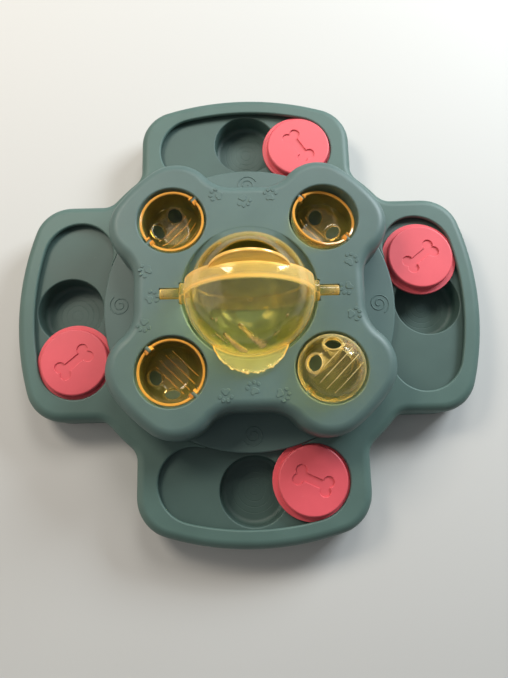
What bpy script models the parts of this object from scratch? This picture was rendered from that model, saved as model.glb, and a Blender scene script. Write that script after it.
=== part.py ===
"""Dog puzzle toy: a four-lobed base with sliding discs, and a top with flip cups and a rocking treat ball.

Metres, +Z up, origin on the floor under the toy's centre. The base is two mouldings screwed together, the
top cover is a third, and the discs' flanges are trapped between them. The front is -Y.
"""
import math

import bmesh
import bpy
from mathutils import Matrix, Vector

# Clearances shared by the whole toy
seat_gap = 0.0003
overrun = 0.004
merge_distance = 0.00002

# Feet and wells, from the floor up
foot_thickness = 0.0037
foot_radius = 0.011
foot_edge = 0.0008
foot_ring_wall = 0.0015
foot_ring_depth = 0.0018
well_floor = 0.0018
well_depth = 0.0142
well_wall = 0.002
well_fillet = 0.0033
well_edge = 0.0008
pan_thickness = 0.002

# Sliding discs and the channels that they run in
slide_end_angle = math.radians(18.4)
disc_radius = 0.0211
disc_rise = 0.0046
disc_edge = 0.0011
disc_wall = 0.0019
disc_clearance = 0.0004
flange_overhang = 0.0033
flange_thickness = 0.0018
flange_clearance = 0.0005
flange_well_cover = 0.0032
lip_gap = 0.0004
lip_thickness = 0.002
lip_edge = 0.0008
bone_half_length = 0.0122
bone_knob_radius = 0.0034
bone_knob_spread = 0.0029
bone_half_shaft = 0.0026
bone_depth = 0.0006

# Base outline
lobe_end_radius = 0.182
lobe_corner_radius = 0.025
waist_half_turn = math.radians(4.28)
waist_fillet = 0.012
rim_width = 0.0115
rim_side_width = 0.0134
disc_outer_gap = 0.0009
rim_round = 0.006
shell_wall = 0.0025
shell_floor_gap = 0.0015

# Pan and its stiffening
pan_rib_depth = 0.0065
pan_rib_wall = 0.0018
pan_ring_inset = 0.0109
pan_fit = 0.0003

# Screws and their bosses
screw_radius = 0.0009
pilot_radius = 0.0012
screw_hole_radius = 0.0014
screw_head_radius = 0.0024
screw_head_taper = 0.0019
screw_head_height = 0.0015
shell_boss_radius = 0.003
shell_boss_depth = 0.008
boss_cup_wall = 0.0015
boss_cup_floor = 0.002
shell_boss_inset = 0.0056
cover_boss_radius = 0.0034
cover_boss_height = 0.016
cover_boss_overlap = 0.0012
pilot_end = 0.003
screw_tip_room = 0.002

# Skirt: the round ledge of the top cover, over the discs' flanges
skirt_shelf = 0.0079
skirt_gap = 0.0015
skirt_thickness = 0.0029
skirt_plate = 0.0022
skirt_edge = 0.0011
skirt_ring_wall = 0.0022

# Top cover
pocket_lift = 0.001
cover_wall = 0.0022
cover_round = 0.007
clover_rim_width = 0.0135
clover_corner_radius = 0.025
clover_corner_angle = math.radians(53.7716)
scoop_depth = 0.016
scoop_fillet = 0.02
lobe_floor = 0.002
hole_edge = 0.0009

# Flip cups and their pockets
cup_ball_wall = 0.004
cup_radius = 0.0198
cup_wall = 0.0016
cup_flat_radius = 0.0088
cup_axis_drop = 0.0025
cup_rim_rise = 0.0012
cup_clearance = 0.0012
cup_hole_radius = 0.0047
cup_hole_along = 0.0078
cup_hole_out = 0.009
peg_radius = 0.0015
peg_length = 0.0038
peg_clearance = 0.0003
snap_mouth = 0.0022
cup_floor_clearance = 0.0032
pocket_floor = 0.0022

# Rocking ball
ball_radius = 0.039
ball_wall = 0.0018
ball_axis_drop = 0.0015
ball_clearance = 0.0015
rim_set_back = 0.0068
band_start = 0.002
band_gap = 0.0003
band_thickness = 0.0035
inner_wall = 0.0018
ear_radius = 0.0062
ear_stand = 0.0022
ear_clearance = 0.0005
pin_radius = 0.0032
pin_length = 0.0118
pin_clearance = 0.0003
saddle_wall = 0.0022
tab_radius = 0.0229
tab_stand = 0.0103
tab_thickness = 0.002
tab_angles = (math.radians(10.0), math.radians(-86.0))
treat_radius = 0.021
treat_centre = 0.0015
treat_edge_gap = 0.0007
dish_clearance = 0.002
dish_wall = 0.0018
dish_edge = 0.0008

# Rest pose, as the toy stands in the photograph
slider_rest = {
    "front": math.radians(287.76),
    "right": math.radians(14.6),
    "rear": math.radians(71.94),
    "left": math.radians(197.44),
}
bone_turn = {
    "front": math.radians(-25.0),
    "right": math.radians(38.0),
    "rear": math.radians(-57.0),
    "left": math.radians(40.0),
}
lobe_angles = {
    "front": math.radians(270.0),
    "right": math.radians(0.0),
    "rear": math.radians(90.0),
    "left": math.radians(180.0),
}
cup_angles = {
    "rear_right": math.radians(45.0),
    "rear_left": math.radians(135.0),
    "front_left": math.radians(225.0),
    "front_right": math.radians(315.0),
}
cup_rest_tilt = {
    "rear_right": math.radians(-17.0),
    "rear_left": math.radians(-3.0),
    "front_left": math.radians(2.0),
    "front_right": math.radians(180.0),
}

# Facet counts
well_segments = 18
pocket_segments = 18
skirt_segments = 40
ball_segments = 28
cup_segments = 16
disc_segments = 22
foot_segments = 12
boss_segments = 8
small_segments = 6
screw_segments = 6

# Radii of the top, from the ball outwards
ball_pocket_radius = ball_radius + ball_clearance
ball_tube_radius = ball_pocket_radius + cover_wall
inner_radius = ball_radius - band_thickness
ear_reach = ball_radius + ear_stand
pin_reach = ear_reach + pin_length
tab_reach = ball_radius + tab_stand
pocket_radius = cup_radius + cup_clearance
pocket_tube_radius = pocket_radius + cover_wall
cup_place = ball_pocket_radius + cup_ball_wall + pocket_radius
clover_radius = cup_place + pocket_radius + clover_rim_width
clover_reach = (clover_radius - clover_corner_radius) * math.sin(clover_corner_angle) + clover_corner_radius
scoop_reach = clover_reach - scoop_depth

# Radii of the base, from the skirt outwards
flange_radius = disc_radius + flange_overhang
well_radius = flange_radius - flange_well_cover
channel_end_radius = disc_radius + disc_clearance
channel_grow = flange_radius + flange_clearance - channel_end_radius
skirt_radius = clover_reach + skirt_shelf
slide_radius = skirt_radius + skirt_gap + disc_radius
skirt_ring_radius = slide_radius - flange_radius - flange_clearance
skirt_bore = skirt_ring_radius - skirt_ring_wall
shell_bore = skirt_radius + seat_gap
pan_ring_radius = skirt_bore - pan_ring_inset
lobe_reach = slide_radius + disc_radius + disc_outer_gap + rim_width
lobe_half_width = slide_radius * math.sin(slide_end_angle) + channel_end_radius + rim_side_width
waist_radius = (lobe_half_width + waist_fillet) / math.sin(math.radians(45.0) - waist_half_turn) - waist_fillet
foot_ring_radius = foot_radius + seat_gap + foot_ring_wall
boss_cup_radius = shell_boss_radius + seat_gap + boss_cup_wall

# Levels, stacked from the sizes above
well_bottom_z = foot_thickness + seat_gap
well_floor_z = well_bottom_z + well_floor
channel_z = well_floor_z + well_depth
pan_bottom_z = channel_z - pan_thickness
seat_z = channel_z + seat_gap
flange_top_z = seat_z + flange_thickness
disc_top_z = flange_top_z + disc_rise
lip_z = flange_top_z + lip_gap
rim_z = lip_z + lip_thickness
skirt_z = lip_z + skirt_thickness
lobe_seat_z = rim_z + seat_gap
pocket_floor_z = lobe_seat_z + pocket_lift + pocket_floor
cover_z = pocket_floor_z + cup_floor_clearance + cup_radius + cup_axis_drop
cup_axis_z = cover_z - cup_axis_drop
ball_axis_z = cover_z - ball_axis_drop


def arc(centre, radius, start, end, steps):
    """Points along an arc about centre, both ends included."""
    points = []
    for i in range(steps + 1):
        angle = start + (end - start) * i / steps
        points.append(Vector((centre[0] + radius * math.cos(angle), centre[1] + radius * math.sin(angle))))
    return points


def circle(centre, radius, segments, phase=0.0):
    """Points round a whole circle."""
    turn = [phase + 2.0 * math.pi * i / segments for i in range(segments)]
    return [Vector((centre[0] + radius * math.cos(a), centre[1] + radius * math.sin(a))) for a in turn]


def heading(origin, target):
    """Angle of the line from origin to target."""
    return math.atan2(target[1] - origin[1], target[0] - origin[0])


def turned(points, angle):
    """The points turned about the toy's centre."""
    return [Vector((p.x * math.cos(angle) - p.y * math.sin(angle),
                    p.x * math.sin(angle) + p.y * math.cos(angle))) for p in points]


def four_fold(half):
    """A whole outline from the half of one quarter that runs from the front axis to the diagonal."""
    mirrored = [Vector((-p.x, p.y)) for p in reversed(half[1:-1])]
    quarter = mirrored + half
    outline = []
    for i in range(4):
        outline += turned(quarter, i * math.pi / 2.0)
    return outline


def inset(points, distance):
    """An outline moved inwards along its normals; a negative distance moves it outwards."""
    moved = []
    count = len(points)
    for i, point in enumerate(points):
        before = (point - points[i - 1]).normalized()
        after = (points[(i + 1) % count] - point).normalized()
        normal = Vector((-before.y - after.y, before.x + after.x)).normalized()
        stretch = max(normal.dot(Vector((-after.y, after.x))), 0.5)
        moved.append(point + normal * (distance / stretch))
    return moved


def base_outline():
    """The base seen from above: four wide lobes joined by a round waist."""
    end_centre = (0.0, lobe_end_radius - lobe_reach)
    corner_x = lobe_half_width - lobe_corner_radius
    corner_y = end_centre[1] - math.sqrt((lobe_end_radius - lobe_corner_radius) ** 2 - corner_x ** 2)
    corner = (corner_x, corner_y)
    fillet_x = lobe_half_width + waist_fillet
    fillet = (fillet_x, -math.sqrt((waist_radius + waist_fillet) ** 2 - fillet_x ** 2))
    front = math.radians(-90.0)
    half = arc(end_centre, lobe_end_radius, front, heading(end_centre, corner), 3)
    half += arc(corner, lobe_corner_radius, heading(end_centre, corner), 0.0, 4)[1:]
    half += arc(fillet, waist_fillet, math.radians(180.0), heading(fillet, (0.0, 0.0)), 2)
    half += arc((0.0, 0.0), waist_radius, heading((0.0, 0.0), fillet), math.radians(-45.0), 1)[1:]
    return four_fold(half)


def clover_outline():
    """The top cover seen from above: four round lobes on the diagonals with scoops between them."""
    reach = clover_radius - clover_corner_radius
    corner = (reach * math.cos(clover_corner_angle), -reach * math.sin(clover_corner_angle))
    scoop_y = -scoop_reach - scoop_fillet
    span = clover_corner_radius + scoop_fillet
    scoop = (corner[0] - math.sqrt(span ** 2 - (corner[1] - scoop_y) ** 2), scoop_y)
    half = [Vector((0.0, -scoop_reach))]
    half += arc(scoop, scoop_fillet, math.radians(90.0), heading(scoop, corner), 3)
    half += arc(corner, clover_corner_radius, heading(corner, scoop), heading((0.0, 0.0), corner), 5)[1:]
    half += arc((0.0, 0.0), clover_radius, heading((0.0, 0.0), corner), math.radians(-45.0), 1)[1:]
    return four_fold(half)


def channel_outline(grow, inner_radius_of_cut):
    """One kidney-shaped channel at the front lobe, grown outwards, its inner side run in under the skirt."""
    end = (slide_radius * math.sin(slide_end_angle), -slide_radius * math.cos(slide_end_angle))
    outer_radius = lobe_end_radius - rim_width
    outer_centre = (0.0, lobe_end_radius - lobe_reach)
    reach_x = end[0] + channel_end_radius
    rise = end[1] - outer_centre[1]
    corner_radius = (outer_radius ** 2 - reach_x ** 2 - rise ** 2) / (2.0 * (outer_radius - reach_x))
    corner = (reach_x - corner_radius, end[1])
    turn = heading(outer_centre, corner)
    half = arc(outer_centre, outer_radius + grow, math.radians(-90.0), turn, 3)
    half += arc(corner, corner_radius + grow, turn, 0.0, 6)[1:]
    half += arc(end, channel_end_radius + grow, 0.0, heading(end, (0.0, 0.0)), 6)[1:]
    lean = heading((0.0, 0.0), end)
    half += arc((0.0, 0.0), inner_radius_of_cut, lean, math.radians(-90.0), 1)
    mirrored = [Vector((-p.x, p.y)) for p in reversed(half[1:-1])]
    return half + mirrored


def bone_outline():
    """A flat bone along X: two knobs at each end of a shaft."""
    knob_x = bone_half_length - bone_knob_radius
    knob = (knob_x, bone_knob_spread)
    side = math.pi - math.asin((bone_half_shaft - bone_knob_spread) / bone_knob_radius)
    notch = -math.asin(bone_knob_spread / bone_knob_radius)
    quarter = arc(knob, bone_knob_radius, notch, side, 3)
    right = [Vector((p.x, -p.y)) for p in reversed(quarter[1:])] + quarter
    left = [Vector((-p.x, -p.y)) for p in right]
    return right + left


def new_object(name, verts, faces):
    """A mesh object from points and faces, with faces turned outwards."""
    mesh = bpy.data.meshes.new(name)
    mesh.from_pydata([tuple(v) for v in verts], [], faces)
    bm = bmesh.new()
    bm.from_mesh(mesh)
    bmesh.ops.recalc_face_normals(bm, faces=bm.faces)
    bm.to_mesh(mesh)
    bm.free()
    obj = bpy.data.objects.new(name, mesh)
    bpy.context.scene.collection.objects.link(obj)
    return obj


def loft(name, levels):
    """A closed solid through outlines of equal point counts, given as (points, z) from the bottom up."""
    count = len(levels[0][0])
    verts = [Vector((p.x, p.y, z)) for points, z in levels for p in points]
    faces = [tuple(range(count))[::-1]]
    for level in range(len(levels) - 1):
        low = level * count
        for i in range(count):
            j = (i + 1) % count
            faces.append((low + i, low + j, low + count + j, low + count + i))
    faces.append(tuple(range((len(levels) - 1) * count, len(levels) * count)))
    return new_object(name, verts, faces)


def turned_solid(name, profile, segments, place=(0.0, 0.0, 0.0), phase=0.0):
    """A solid turned about Z from (radius, z) points that start and end on the axis."""
    verts = [Vector((0.0, 0.0, profile[0][1]))]
    rings = profile[1:-1]
    for radius, z in rings:
        for p in circle((0.0, 0.0), radius, segments, phase):
            verts.append(Vector((p.x, p.y, z)))
    verts.append(Vector((0.0, 0.0, profile[-1][1])))
    last = len(verts) - 1
    flat_start = profile[0][1] == profile[1][1]
    flat_end = profile[-1][1] == profile[-2][1]
    top = last - segments
    faces = []
    for i in range(segments):
        j = (i + 1) % segments
        if not flat_start:
            faces.append((0, 1 + i, 1 + j))
        for ring in range(len(rings) - 1):
            low = 1 + ring * segments
            faces.append((low + i, low + j, low + segments + j, low + segments + i))
        if not flat_end:
            faces.append((top + i, top + j, last))
    if flat_start:
        faces.append(tuple(range(1, 1 + segments)))
    if flat_end:
        faces.append(tuple(range(top, last)))
    obj = new_object(name, verts, faces)
    drop_loose(obj.data)
    obj.data.transform(Matrix.Translation(place))
    return obj


def drop_loose(mesh):
    """Removes points that no face uses."""
    bm = bmesh.new()
    bm.from_mesh(mesh)
    bmesh.ops.delete(bm, geom=[v for v in bm.verts if not v.link_faces], context="VERTS")
    bm.to_mesh(mesh)
    bm.free()


def post(name, radius, low, high, segments, place=(0.0, 0.0), phase=0.0):
    """A plain upright cylinder."""
    profile = [(0.0, low), (radius, low), (radius, high), (0.0, high)]
    return turned_solid(name, profile, segments, (place[0], place[1], 0.0), phase)


def block(name, low, high):
    """A box between two corners."""
    outline = [Vector((low[0], low[1])), Vector((high[0], low[1])), Vector((high[0], high[1])),
               Vector((low[0], high[1]))]
    return loft(name, [(outline, low[2]), (outline, high[2])])


def joined(objects):
    """Separate solids put into one mesh."""
    bm = bmesh.new()
    for obj in objects:
        bm.from_mesh(obj.data)
    bm.to_mesh(objects[0].data)
    bm.free()
    for obj in objects[1:]:
        remove(obj)
    return objects[0]


def remove(obj):
    """Takes an object and its mesh out of the file."""
    mesh = obj.data
    bpy.data.objects.remove(obj)
    bpy.data.meshes.remove(mesh)


def combine(body, tool, operation):
    """Applies an exact Boolean of tool to body."""
    modifier = body.modifiers.new(operation, "BOOLEAN")
    modifier.operation = operation
    modifier.solver = "EXACT"
    modifier.object = tool
    bpy.context.view_layer.update()
    evaluated = body.evaluated_get(bpy.context.evaluated_depsgraph_get())
    mesh = bpy.data.meshes.new_from_object(evaluated)
    body.modifiers.clear()
    old = body.data
    body.data = mesh
    bpy.data.meshes.remove(old)
    remove(tool)
    return body


def add(body, tool):
    return combine(body, tool, "UNION")


def cut(body, tool):
    return combine(body, tool, "DIFFERENCE")


def tidy(obj):
    """Merges coinciding points and flat neighbouring faces that the cuts left."""
    bm = bmesh.new()
    bm.from_mesh(obj.data)
    bmesh.ops.remove_doubles(bm, verts=bm.verts, dist=merge_distance)
    bmesh.ops.dissolve_limit(bm, angle_limit=math.radians(0.2), use_dissolve_boundaries=False, verts=bm.verts,
                             edges=bm.edges)
    bm.to_mesh(obj.data)
    bm.free()


def around(angles, radius):
    """Places on a circle about the toy's centre."""
    return [(radius * math.cos(a), radius * math.sin(a)) for a in angles]


def copies(name, make, places):
    """One tool mesh made of a separate solid at each place."""
    return joined([make(f"{name}_{i}", place) for i, place in enumerate(places)])


def finish(obj, name, material, parent=None):
    """Names a finished piece, gives it its material and shades its round faces smooth."""
    obj.name = name
    obj.data.name = name
    obj.data.materials.clear()
    obj.data.materials.append(material)
    obj.data.shade_smooth()
    obj.data.set_sharp_from_angle(angle=math.radians(32.0))
    if parent:
        obj.parent = parent
    return obj


def plastic(name, colour, roughness, alpha=1.0, transmission=0.0):
    """A Principled material for one moulded piece."""
    material = bpy.data.materials.new(name)
    material.use_nodes = True
    shader = material.node_tree.nodes["Principled BSDF"]
    shader.inputs["Base Color"].default_value = (*colour, 1.0)
    shader.inputs["Roughness"].default_value = roughness
    shader.inputs["Metallic"].default_value = 0.0
    shader.inputs["Alpha"].default_value = alpha
    shader.inputs["Transmission Weight"].default_value = transmission
    material.diffuse_color = (*colour, alpha)
    return material


def steel(name, colour, roughness):
    """A Principled material for plated screws."""
    material = plastic(name, colour, roughness)
    material.node_tree.nodes["Principled BSDF"].inputs["Metallic"].default_value = 1.0
    return material


def empty(name, location, turn):
    """A pivot for a moving piece, turned to its rest angle about Z."""
    pivot = bpy.data.objects.new(name, None)
    pivot.location = location
    pivot.rotation_euler = (0.0, 0.0, turn)
    bpy.context.scene.collection.objects.link(pivot)
    return pivot


def quarter_round(edge_x, edge_z, radius, steps, outwards=1.0):
    """(inset, z) steps of a rounded top edge that ends at edge_z."""
    points = []
    for i in range(steps + 1):
        angle = math.pi / 2.0 * i / steps
        points.append((edge_x + outwards * radius * (1.0 - math.cos(angle)),
                       edge_z - radius + radius * math.sin(angle)))
    return points


def shell_boss_places():
    """Two screw bosses in the outer corners of each lobe."""
    end = Vector((slide_radius * math.sin(slide_end_angle), -slide_radius * math.cos(slide_end_angle)))
    corner_x = lobe_half_width - lobe_corner_radius
    corner_y = (lobe_end_radius - lobe_reach
                - math.sqrt((lobe_end_radius - lobe_corner_radius) ** 2 - corner_x ** 2))
    corner = Vector((corner_x, corner_y))
    reach = lobe_corner_radius - shell_wall - shell_boss_inset
    direction = (corner - end).normalized()
    place = corner + direction * reach
    places = []
    for angle in lobe_angles.values():
        for side in (-1.0, 1.0):
            places += turned([Vector((side * place.x, place.y))], angle + math.pi / 2.0)
    return places


def cover_boss_places():
    """Four screw bosses of the top cover, behind the scoops."""
    place = scoop_reach - cover_wall - cover_boss_radius + cover_boss_overlap
    return around(lobe_angles.values(), place)


def lobe_channels(name, grow, levels):
    """The four channel cutters, each through the given (extra grow, z) levels."""
    tools = []
    for key, angle in lobe_angles.items():
        rings = []
        for extra, z in levels:
            outline = channel_outline(grow + extra, skirt_ring_radius - skirt_ring_wall)
            rings.append((turned(outline, angle + math.pi / 2.0), z))
        tools.append(loft(f"{name}_{key}", rings))
    return joined(tools)


def make_base_shell(material):
    """Upper base moulding: rounded rim, undercut channels, open underneath."""
    outline = base_outline()
    levels = [(outline, shell_floor_gap)]
    levels += [(inset(outline, depth), z) for depth, z in quarter_round(0.0, rim_z, rim_round, 3)]
    shell = loft("base_shell", levels)
    inner = inset(outline, shell_wall)
    cut(shell, loft("shell_inside", [(inner, shell_floor_gap - overrun), (inner, seat_z)]))
    bore = [(0.0, shell_floor_gap - overrun), (shell_bore, shell_floor_gap - overrun),
            (shell_bore, rim_z + overrun), (0.0, rim_z + overrun)]
    cut(shell, turned_solid("shell_bore", bore, skirt_segments))
    mouth = [(0.0, seat_z - overrun), (0.0, rim_z - lip_edge), (lip_edge, rim_z), (lip_edge, rim_z + overrun)]
    cut(shell, lobe_channels("channel_mouth", 0.0, mouth))
    undercut = [(0.0, seat_z - overrun), (0.0, lip_z)]
    cut(shell, lobe_channels("channel_undercut", channel_grow, undercut))
    boss_z = seat_z - shell_boss_depth

    def boss(name, place):
        return post(name, shell_boss_radius, boss_z, (seat_z + rim_z) / 2.0, boss_segments, place)

    def pilot(name, place):
        return post(name, pilot_radius, boss_z - overrun, seat_z, small_segments, place)

    add(shell, copies("shell_boss", boss, shell_boss_places()))
    cut(shell, copies("shell_pilot", pilot, shell_boss_places()))
    tidy(shell)
    return finish(shell, "base_shell", material)


def make_base_pan(material):
    """Lower base moulding: channel floors, wells, dish under the ball, ribs and boss cups."""
    outline = inset(base_outline(), shell_wall + pan_fit)
    pan = loft("base_pan", [(outline, pan_bottom_z), (outline, channel_z)])
    inside_z = (pan_bottom_z + channel_z) / 2.0
    wells = around(lobe_angles.values(), slide_radius)
    outer_radius = well_radius + well_wall
    cup_floor_z = seat_z - shell_boss_depth - seat_gap
    dish_radius = ball_radius + dish_clearance
    dish_shell = dish_radius + dish_wall

    def well_outside(name, place):
        return post(name, outer_radius, well_bottom_z, inside_z, well_segments, place)

    def well_inside(name, place):
        profile = [(0.0, well_floor_z), (well_radius - well_fillet, well_floor_z),
                   (well_radius, well_floor_z + well_fillet), (well_radius, channel_z - well_edge),
                   (well_radius + well_edge, channel_z), (well_radius + well_edge, channel_z + overrun),
                   (0.0, channel_z + overrun)]
        return turned_solid(name, profile, well_segments, (place[0], place[1], 0.0))

    def foot_ring(name, place):
        low = well_bottom_z - foot_ring_depth
        return post(name, foot_ring_radius, low, well_bottom_z + well_floor / 2.0, foot_segments, place)

    def foot_socket(name, place):
        low = well_bottom_z - foot_ring_depth - overrun
        return post(name, foot_radius + seat_gap, low, well_bottom_z, foot_segments, place)

    def boss_cup(name, place):
        return post(name, boss_cup_radius, cup_floor_z - boss_cup_floor, inside_z, boss_segments, place)

    def boss_bore(name, place):
        return post(name, shell_boss_radius + seat_gap, cup_floor_z, channel_z + overrun, boss_segments, place)

    def screw_hole(name, place):
        low = cup_floor_z - boss_cup_floor - overrun
        return post(name, screw_hole_radius, low, cup_floor_z + overrun / 2.0, small_segments, place)

    def cover_screw_hole(name, place):
        half_step = math.pi / small_segments
        return post(name, screw_hole_radius, pan_bottom_z - overrun, channel_z + overrun, small_segments, place,
                    half_step)

    def dish(name, radius, top_z, extra):
        steps = 3
        edge = math.acos((ball_axis_z - top_z) / radius)
        profile = []
        for i in range(steps + 1):
            angle = edge * i / steps
            profile.append((radius * math.sin(angle), ball_axis_z - radius * math.cos(angle)))
        profile += [(profile[-1][0] + extra, top_z + extra), (0.0, top_z + extra)]
        return turned_solid(name, profile, ball_segments)

    def rib(name, angle, start, end):
        low_z = pan_bottom_z - pan_rib_depth
        piece = block(name, (start, -pan_rib_wall / 2.0, low_z), (end, pan_rib_wall / 2.0, inside_z))
        piece.data.transform(Matrix.Rotation(angle, 4, "Z"))
        return piece

    ring_low = pan_bottom_z - pan_rib_depth
    ring = post("pan_ring", pan_ring_radius, ring_low, inside_z, ball_segments)
    ring_inside = post("pan_ring_inside", pan_ring_radius - pan_rib_wall, ring_low - overrun, pan_bottom_z,
                       ball_segments)
    add(pan, cut(ring, ring_inside))
    start = pan_ring_radius - pan_rib_wall / 2.0
    diagonals = [rib(f"rib_{key}", angle, start, waist_radius - shell_wall - rim_width)
                 for key, angle in cup_angles.items()]
    radials = [rib(f"rib_{key}", angle, start, slide_radius - well_radius - well_wall / 2.0)
               for key, angle in lobe_angles.items()]
    add(pan, joined(diagonals + radials))
    add(pan, copies("well_outside", well_outside, wells))
    add(pan, copies("foot_ring", foot_ring, wells))
    add(pan, copies("boss_cup", boss_cup, shell_boss_places()))
    add(pan, dish("dish_outside", dish_shell, inside_z, 0.0))
    cut(pan, copies("well_inside", well_inside, wells))
    cut(pan, copies("foot_socket", foot_socket, wells))
    cut(pan, copies("boss_bore", boss_bore, shell_boss_places()))
    cut(pan, copies("screw_hole", screw_hole, shell_boss_places()))
    cut(pan, copies("cover_screw_hole", cover_screw_hole, cover_boss_places()))
    cut(pan, dish("dish_inside", dish_radius, channel_z, dish_edge))
    tidy(pan)
    return finish(pan, "base_pan", material)


def make_top_cover(material):
    """Upper moulding: clover block on a round skirt, hollow underneath, with pockets, slots and pegs."""
    outline = clover_outline()
    levels = [(outline, lobe_seat_z)]
    levels += [(inset(outline, depth), z) for depth, z in quarter_round(0.0, cover_z, cover_round, 3)]
    cover = loft("top_cover", levels)
    rounded = quarter_round(0.0, skirt_z, skirt_edge, 2)
    skirt = [(0.0, seat_z), (skirt_ring_radius, seat_z), (skirt_ring_radius, lip_z), (skirt_radius, lip_z)]
    skirt += [(skirt_radius - depth, z) for depth, z in rounded] + [(0.0, skirt_z)]
    add(cover, turned_solid("skirt", skirt, skirt_segments))

    inner = inset(outline, cover_wall)
    ceiling_z = cover_z - cover_wall
    slope = cover_round - cover_wall
    throat = [p * min(1.0, skirt_bore / p.length) for p in inner]
    lobe_floor_z = lobe_seat_z + lobe_floor
    hollow = loft("hollow", [(inner, lobe_floor_z), (inner, ceiling_z - slope), (inset(inner, slope), ceiling_z)])
    add(hollow, loft("throat", [(throat, seat_z - overrun), (throat, lobe_floor_z + lobe_floor)]))
    under_z = skirt_z - skirt_plate
    under = [(0.0, seat_z - overrun / 2.0), (skirt_bore, seat_z - overrun / 2.0), (skirt_bore, under_z),
             (0.0, under_z)]
    add(hollow, turned_solid("under_skirt", under, skirt_segments))
    above_z = cover_z + overrun
    cut(hollow, post("ball_tube", ball_tube_radius, seat_z - 2.0 * overrun, above_z, ball_segments))
    cups = around(cup_angles.values(), cup_place)

    def pocket_tube(name, place):
        return post(name, pocket_tube_radius, pocket_floor_z - pocket_floor, above_z, pocket_segments, place)

    def boss(name, place):
        return post(name, cover_boss_radius, seat_z - 2.0 * overrun, seat_z + cover_boss_height,
                    boss_segments, place)

    def saddle(name, side):
        half = pin_radius + pin_clearance + saddle_wall
        low_z = ball_axis_z - half
        reach = sorted((side * ball_pocket_radius, side * (pin_reach + pin_clearance + saddle_wall)))
        return block(name, (reach[0], -half, low_z), (reach[1], half, above_z))

    def ear_saddle(name, side):
        half = ear_radius + ear_clearance + saddle_wall
        low_z = ball_axis_z - half
        reach = sorted((side * (ball_pocket_radius - cover_wall), side * (ear_reach + ear_clearance + saddle_wall)))
        return block(name, (reach[0], -half, low_z), (reach[1], half, above_z))

    sides = (-1.0, 1.0)
    cut(hollow, copies("pocket_tube", pocket_tube, cups))
    cut(hollow, copies("cover_boss", boss, cover_boss_places()))
    cut(hollow, copies("saddle", saddle, sides))
    cut(hollow, copies("ear_saddle", ear_saddle, sides))
    cut(cover, hollow)

    def mouth(radius, low):
        return [(0.0, low), (radius, low), (radius, cover_z - hole_edge), (radius + hole_edge, cover_z),
                (radius + hole_edge, above_z), (0.0, above_z)]

    def pocket(name, place):
        return turned_solid(name, mouth(pocket_radius, pocket_floor_z), pocket_segments,
                            (place[0], place[1], 0.0))

    def way(name, side, radius, reach):
        outline = arc((0.0, 0.0), radius, math.pi, 2.0 * math.pi, 6)
        outline += [Vector((radius, above_z - ball_axis_z)), Vector((-radius, above_z - ball_axis_z))]
        ends = sorted((side * (ball_pocket_radius - cover_wall), side * reach))
        piece = loft(name, [(outline, ends[0]), (outline, ends[1])])
        lay = Matrix(((0.0, 0.0, 1.0), (1.0, 0.0, 0.0), (0.0, 1.0, 0.0))).to_4x4()
        piece.data.transform(Matrix.Translation((0.0, 0.0, ball_axis_z)) @ lay)
        return piece

    def pin_slot(name, side):
        return way(name, side, pin_radius + pin_clearance, pin_reach + pin_clearance)

    def ear_slot(name, side):
        return way(name, side, ear_radius + ear_clearance, ear_reach + ear_clearance)

    def pilot(name, place):
        return post(name, pilot_radius, seat_z - overrun, seat_z + cover_boss_height - pilot_end,
                    small_segments, place)

    cut(cover, turned_solid("ball_mouth", mouth(ball_pocket_radius, seat_z - overrun), ball_segments))
    cut(cover, copies("pocket", pocket, cups))
    cut(cover, copies("pin_slot", pin_slot, sides))
    cut(cover, copies("ear_slot", ear_slot, sides))
    cut(cover, copies("cover_pilot", pilot, cover_boss_places()))

    pegs = []
    for key, angle in cup_angles.items():
        for side in sides:
            far = pocket_radius + cover_wall / 2.0
            peg = post(f"peg_{key}", peg_radius, pocket_radius - peg_length, far, small_segments)
            place = around([angle], cup_place)[0]
            peg.data.transform(Matrix.Translation((place[0], place[1], cup_axis_z))
                               @ Matrix.Rotation(angle, 4, "Z")
                               @ Matrix.Rotation(-side * math.pi / 2.0, 4, "X"))
            pegs.append(peg)
    add(cover, joined(pegs))
    tidy(cover)
    return finish(cover, "top_cover", material)


def make_slider(key, material):
    """A two-step disc with a sunk bone, hollow underneath, on a pivot at the toy's centre."""
    edge = quarter_round(0.0, disc_top_z, disc_edge, 2)
    profile = [(0.0, seat_z), (flange_radius, seat_z), (flange_radius, flange_top_z), (disc_radius, flange_top_z)]
    profile += [(disc_radius - depth, z) for depth, z in edge] + [(0.0, disc_top_z)]
    disc = turned_solid(f"slider_{key}", profile, disc_segments)
    hollow_radius = disc_radius - disc_wall
    cut(disc, post("disc_hollow", hollow_radius, seat_z - overrun, disc_top_z - disc_wall, disc_segments))
    bone = turned(bone_outline(), bone_turn[key] - slider_rest[key])
    cut(disc, loft("bone", [(bone, disc_top_z - bone_depth), (bone, disc_top_z + overrun)]))
    disc.data.transform(Matrix.Translation((slide_radius, 0.0, 0.0)))
    pivot = empty(f"slider_{key}_pivot", (0.0, 0.0, 0.0), slider_rest[key])
    return finish(disc, f"slider_{key}", material, pivot)


def cup_profile(radius, flat_radius, top):
    """(radius, z) points of a bowl with a flat bottom, about its pivot."""
    start = math.asin(flat_radius / radius)
    end = math.acos(-top / radius)
    steps = 4
    points = []
    for i in range(steps + 1):
        angle = start + (end - start) * i / steps
        points.append((radius * math.sin(angle), -radius * math.cos(angle)))
    return [(0.0, points[0][1])] + points


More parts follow.
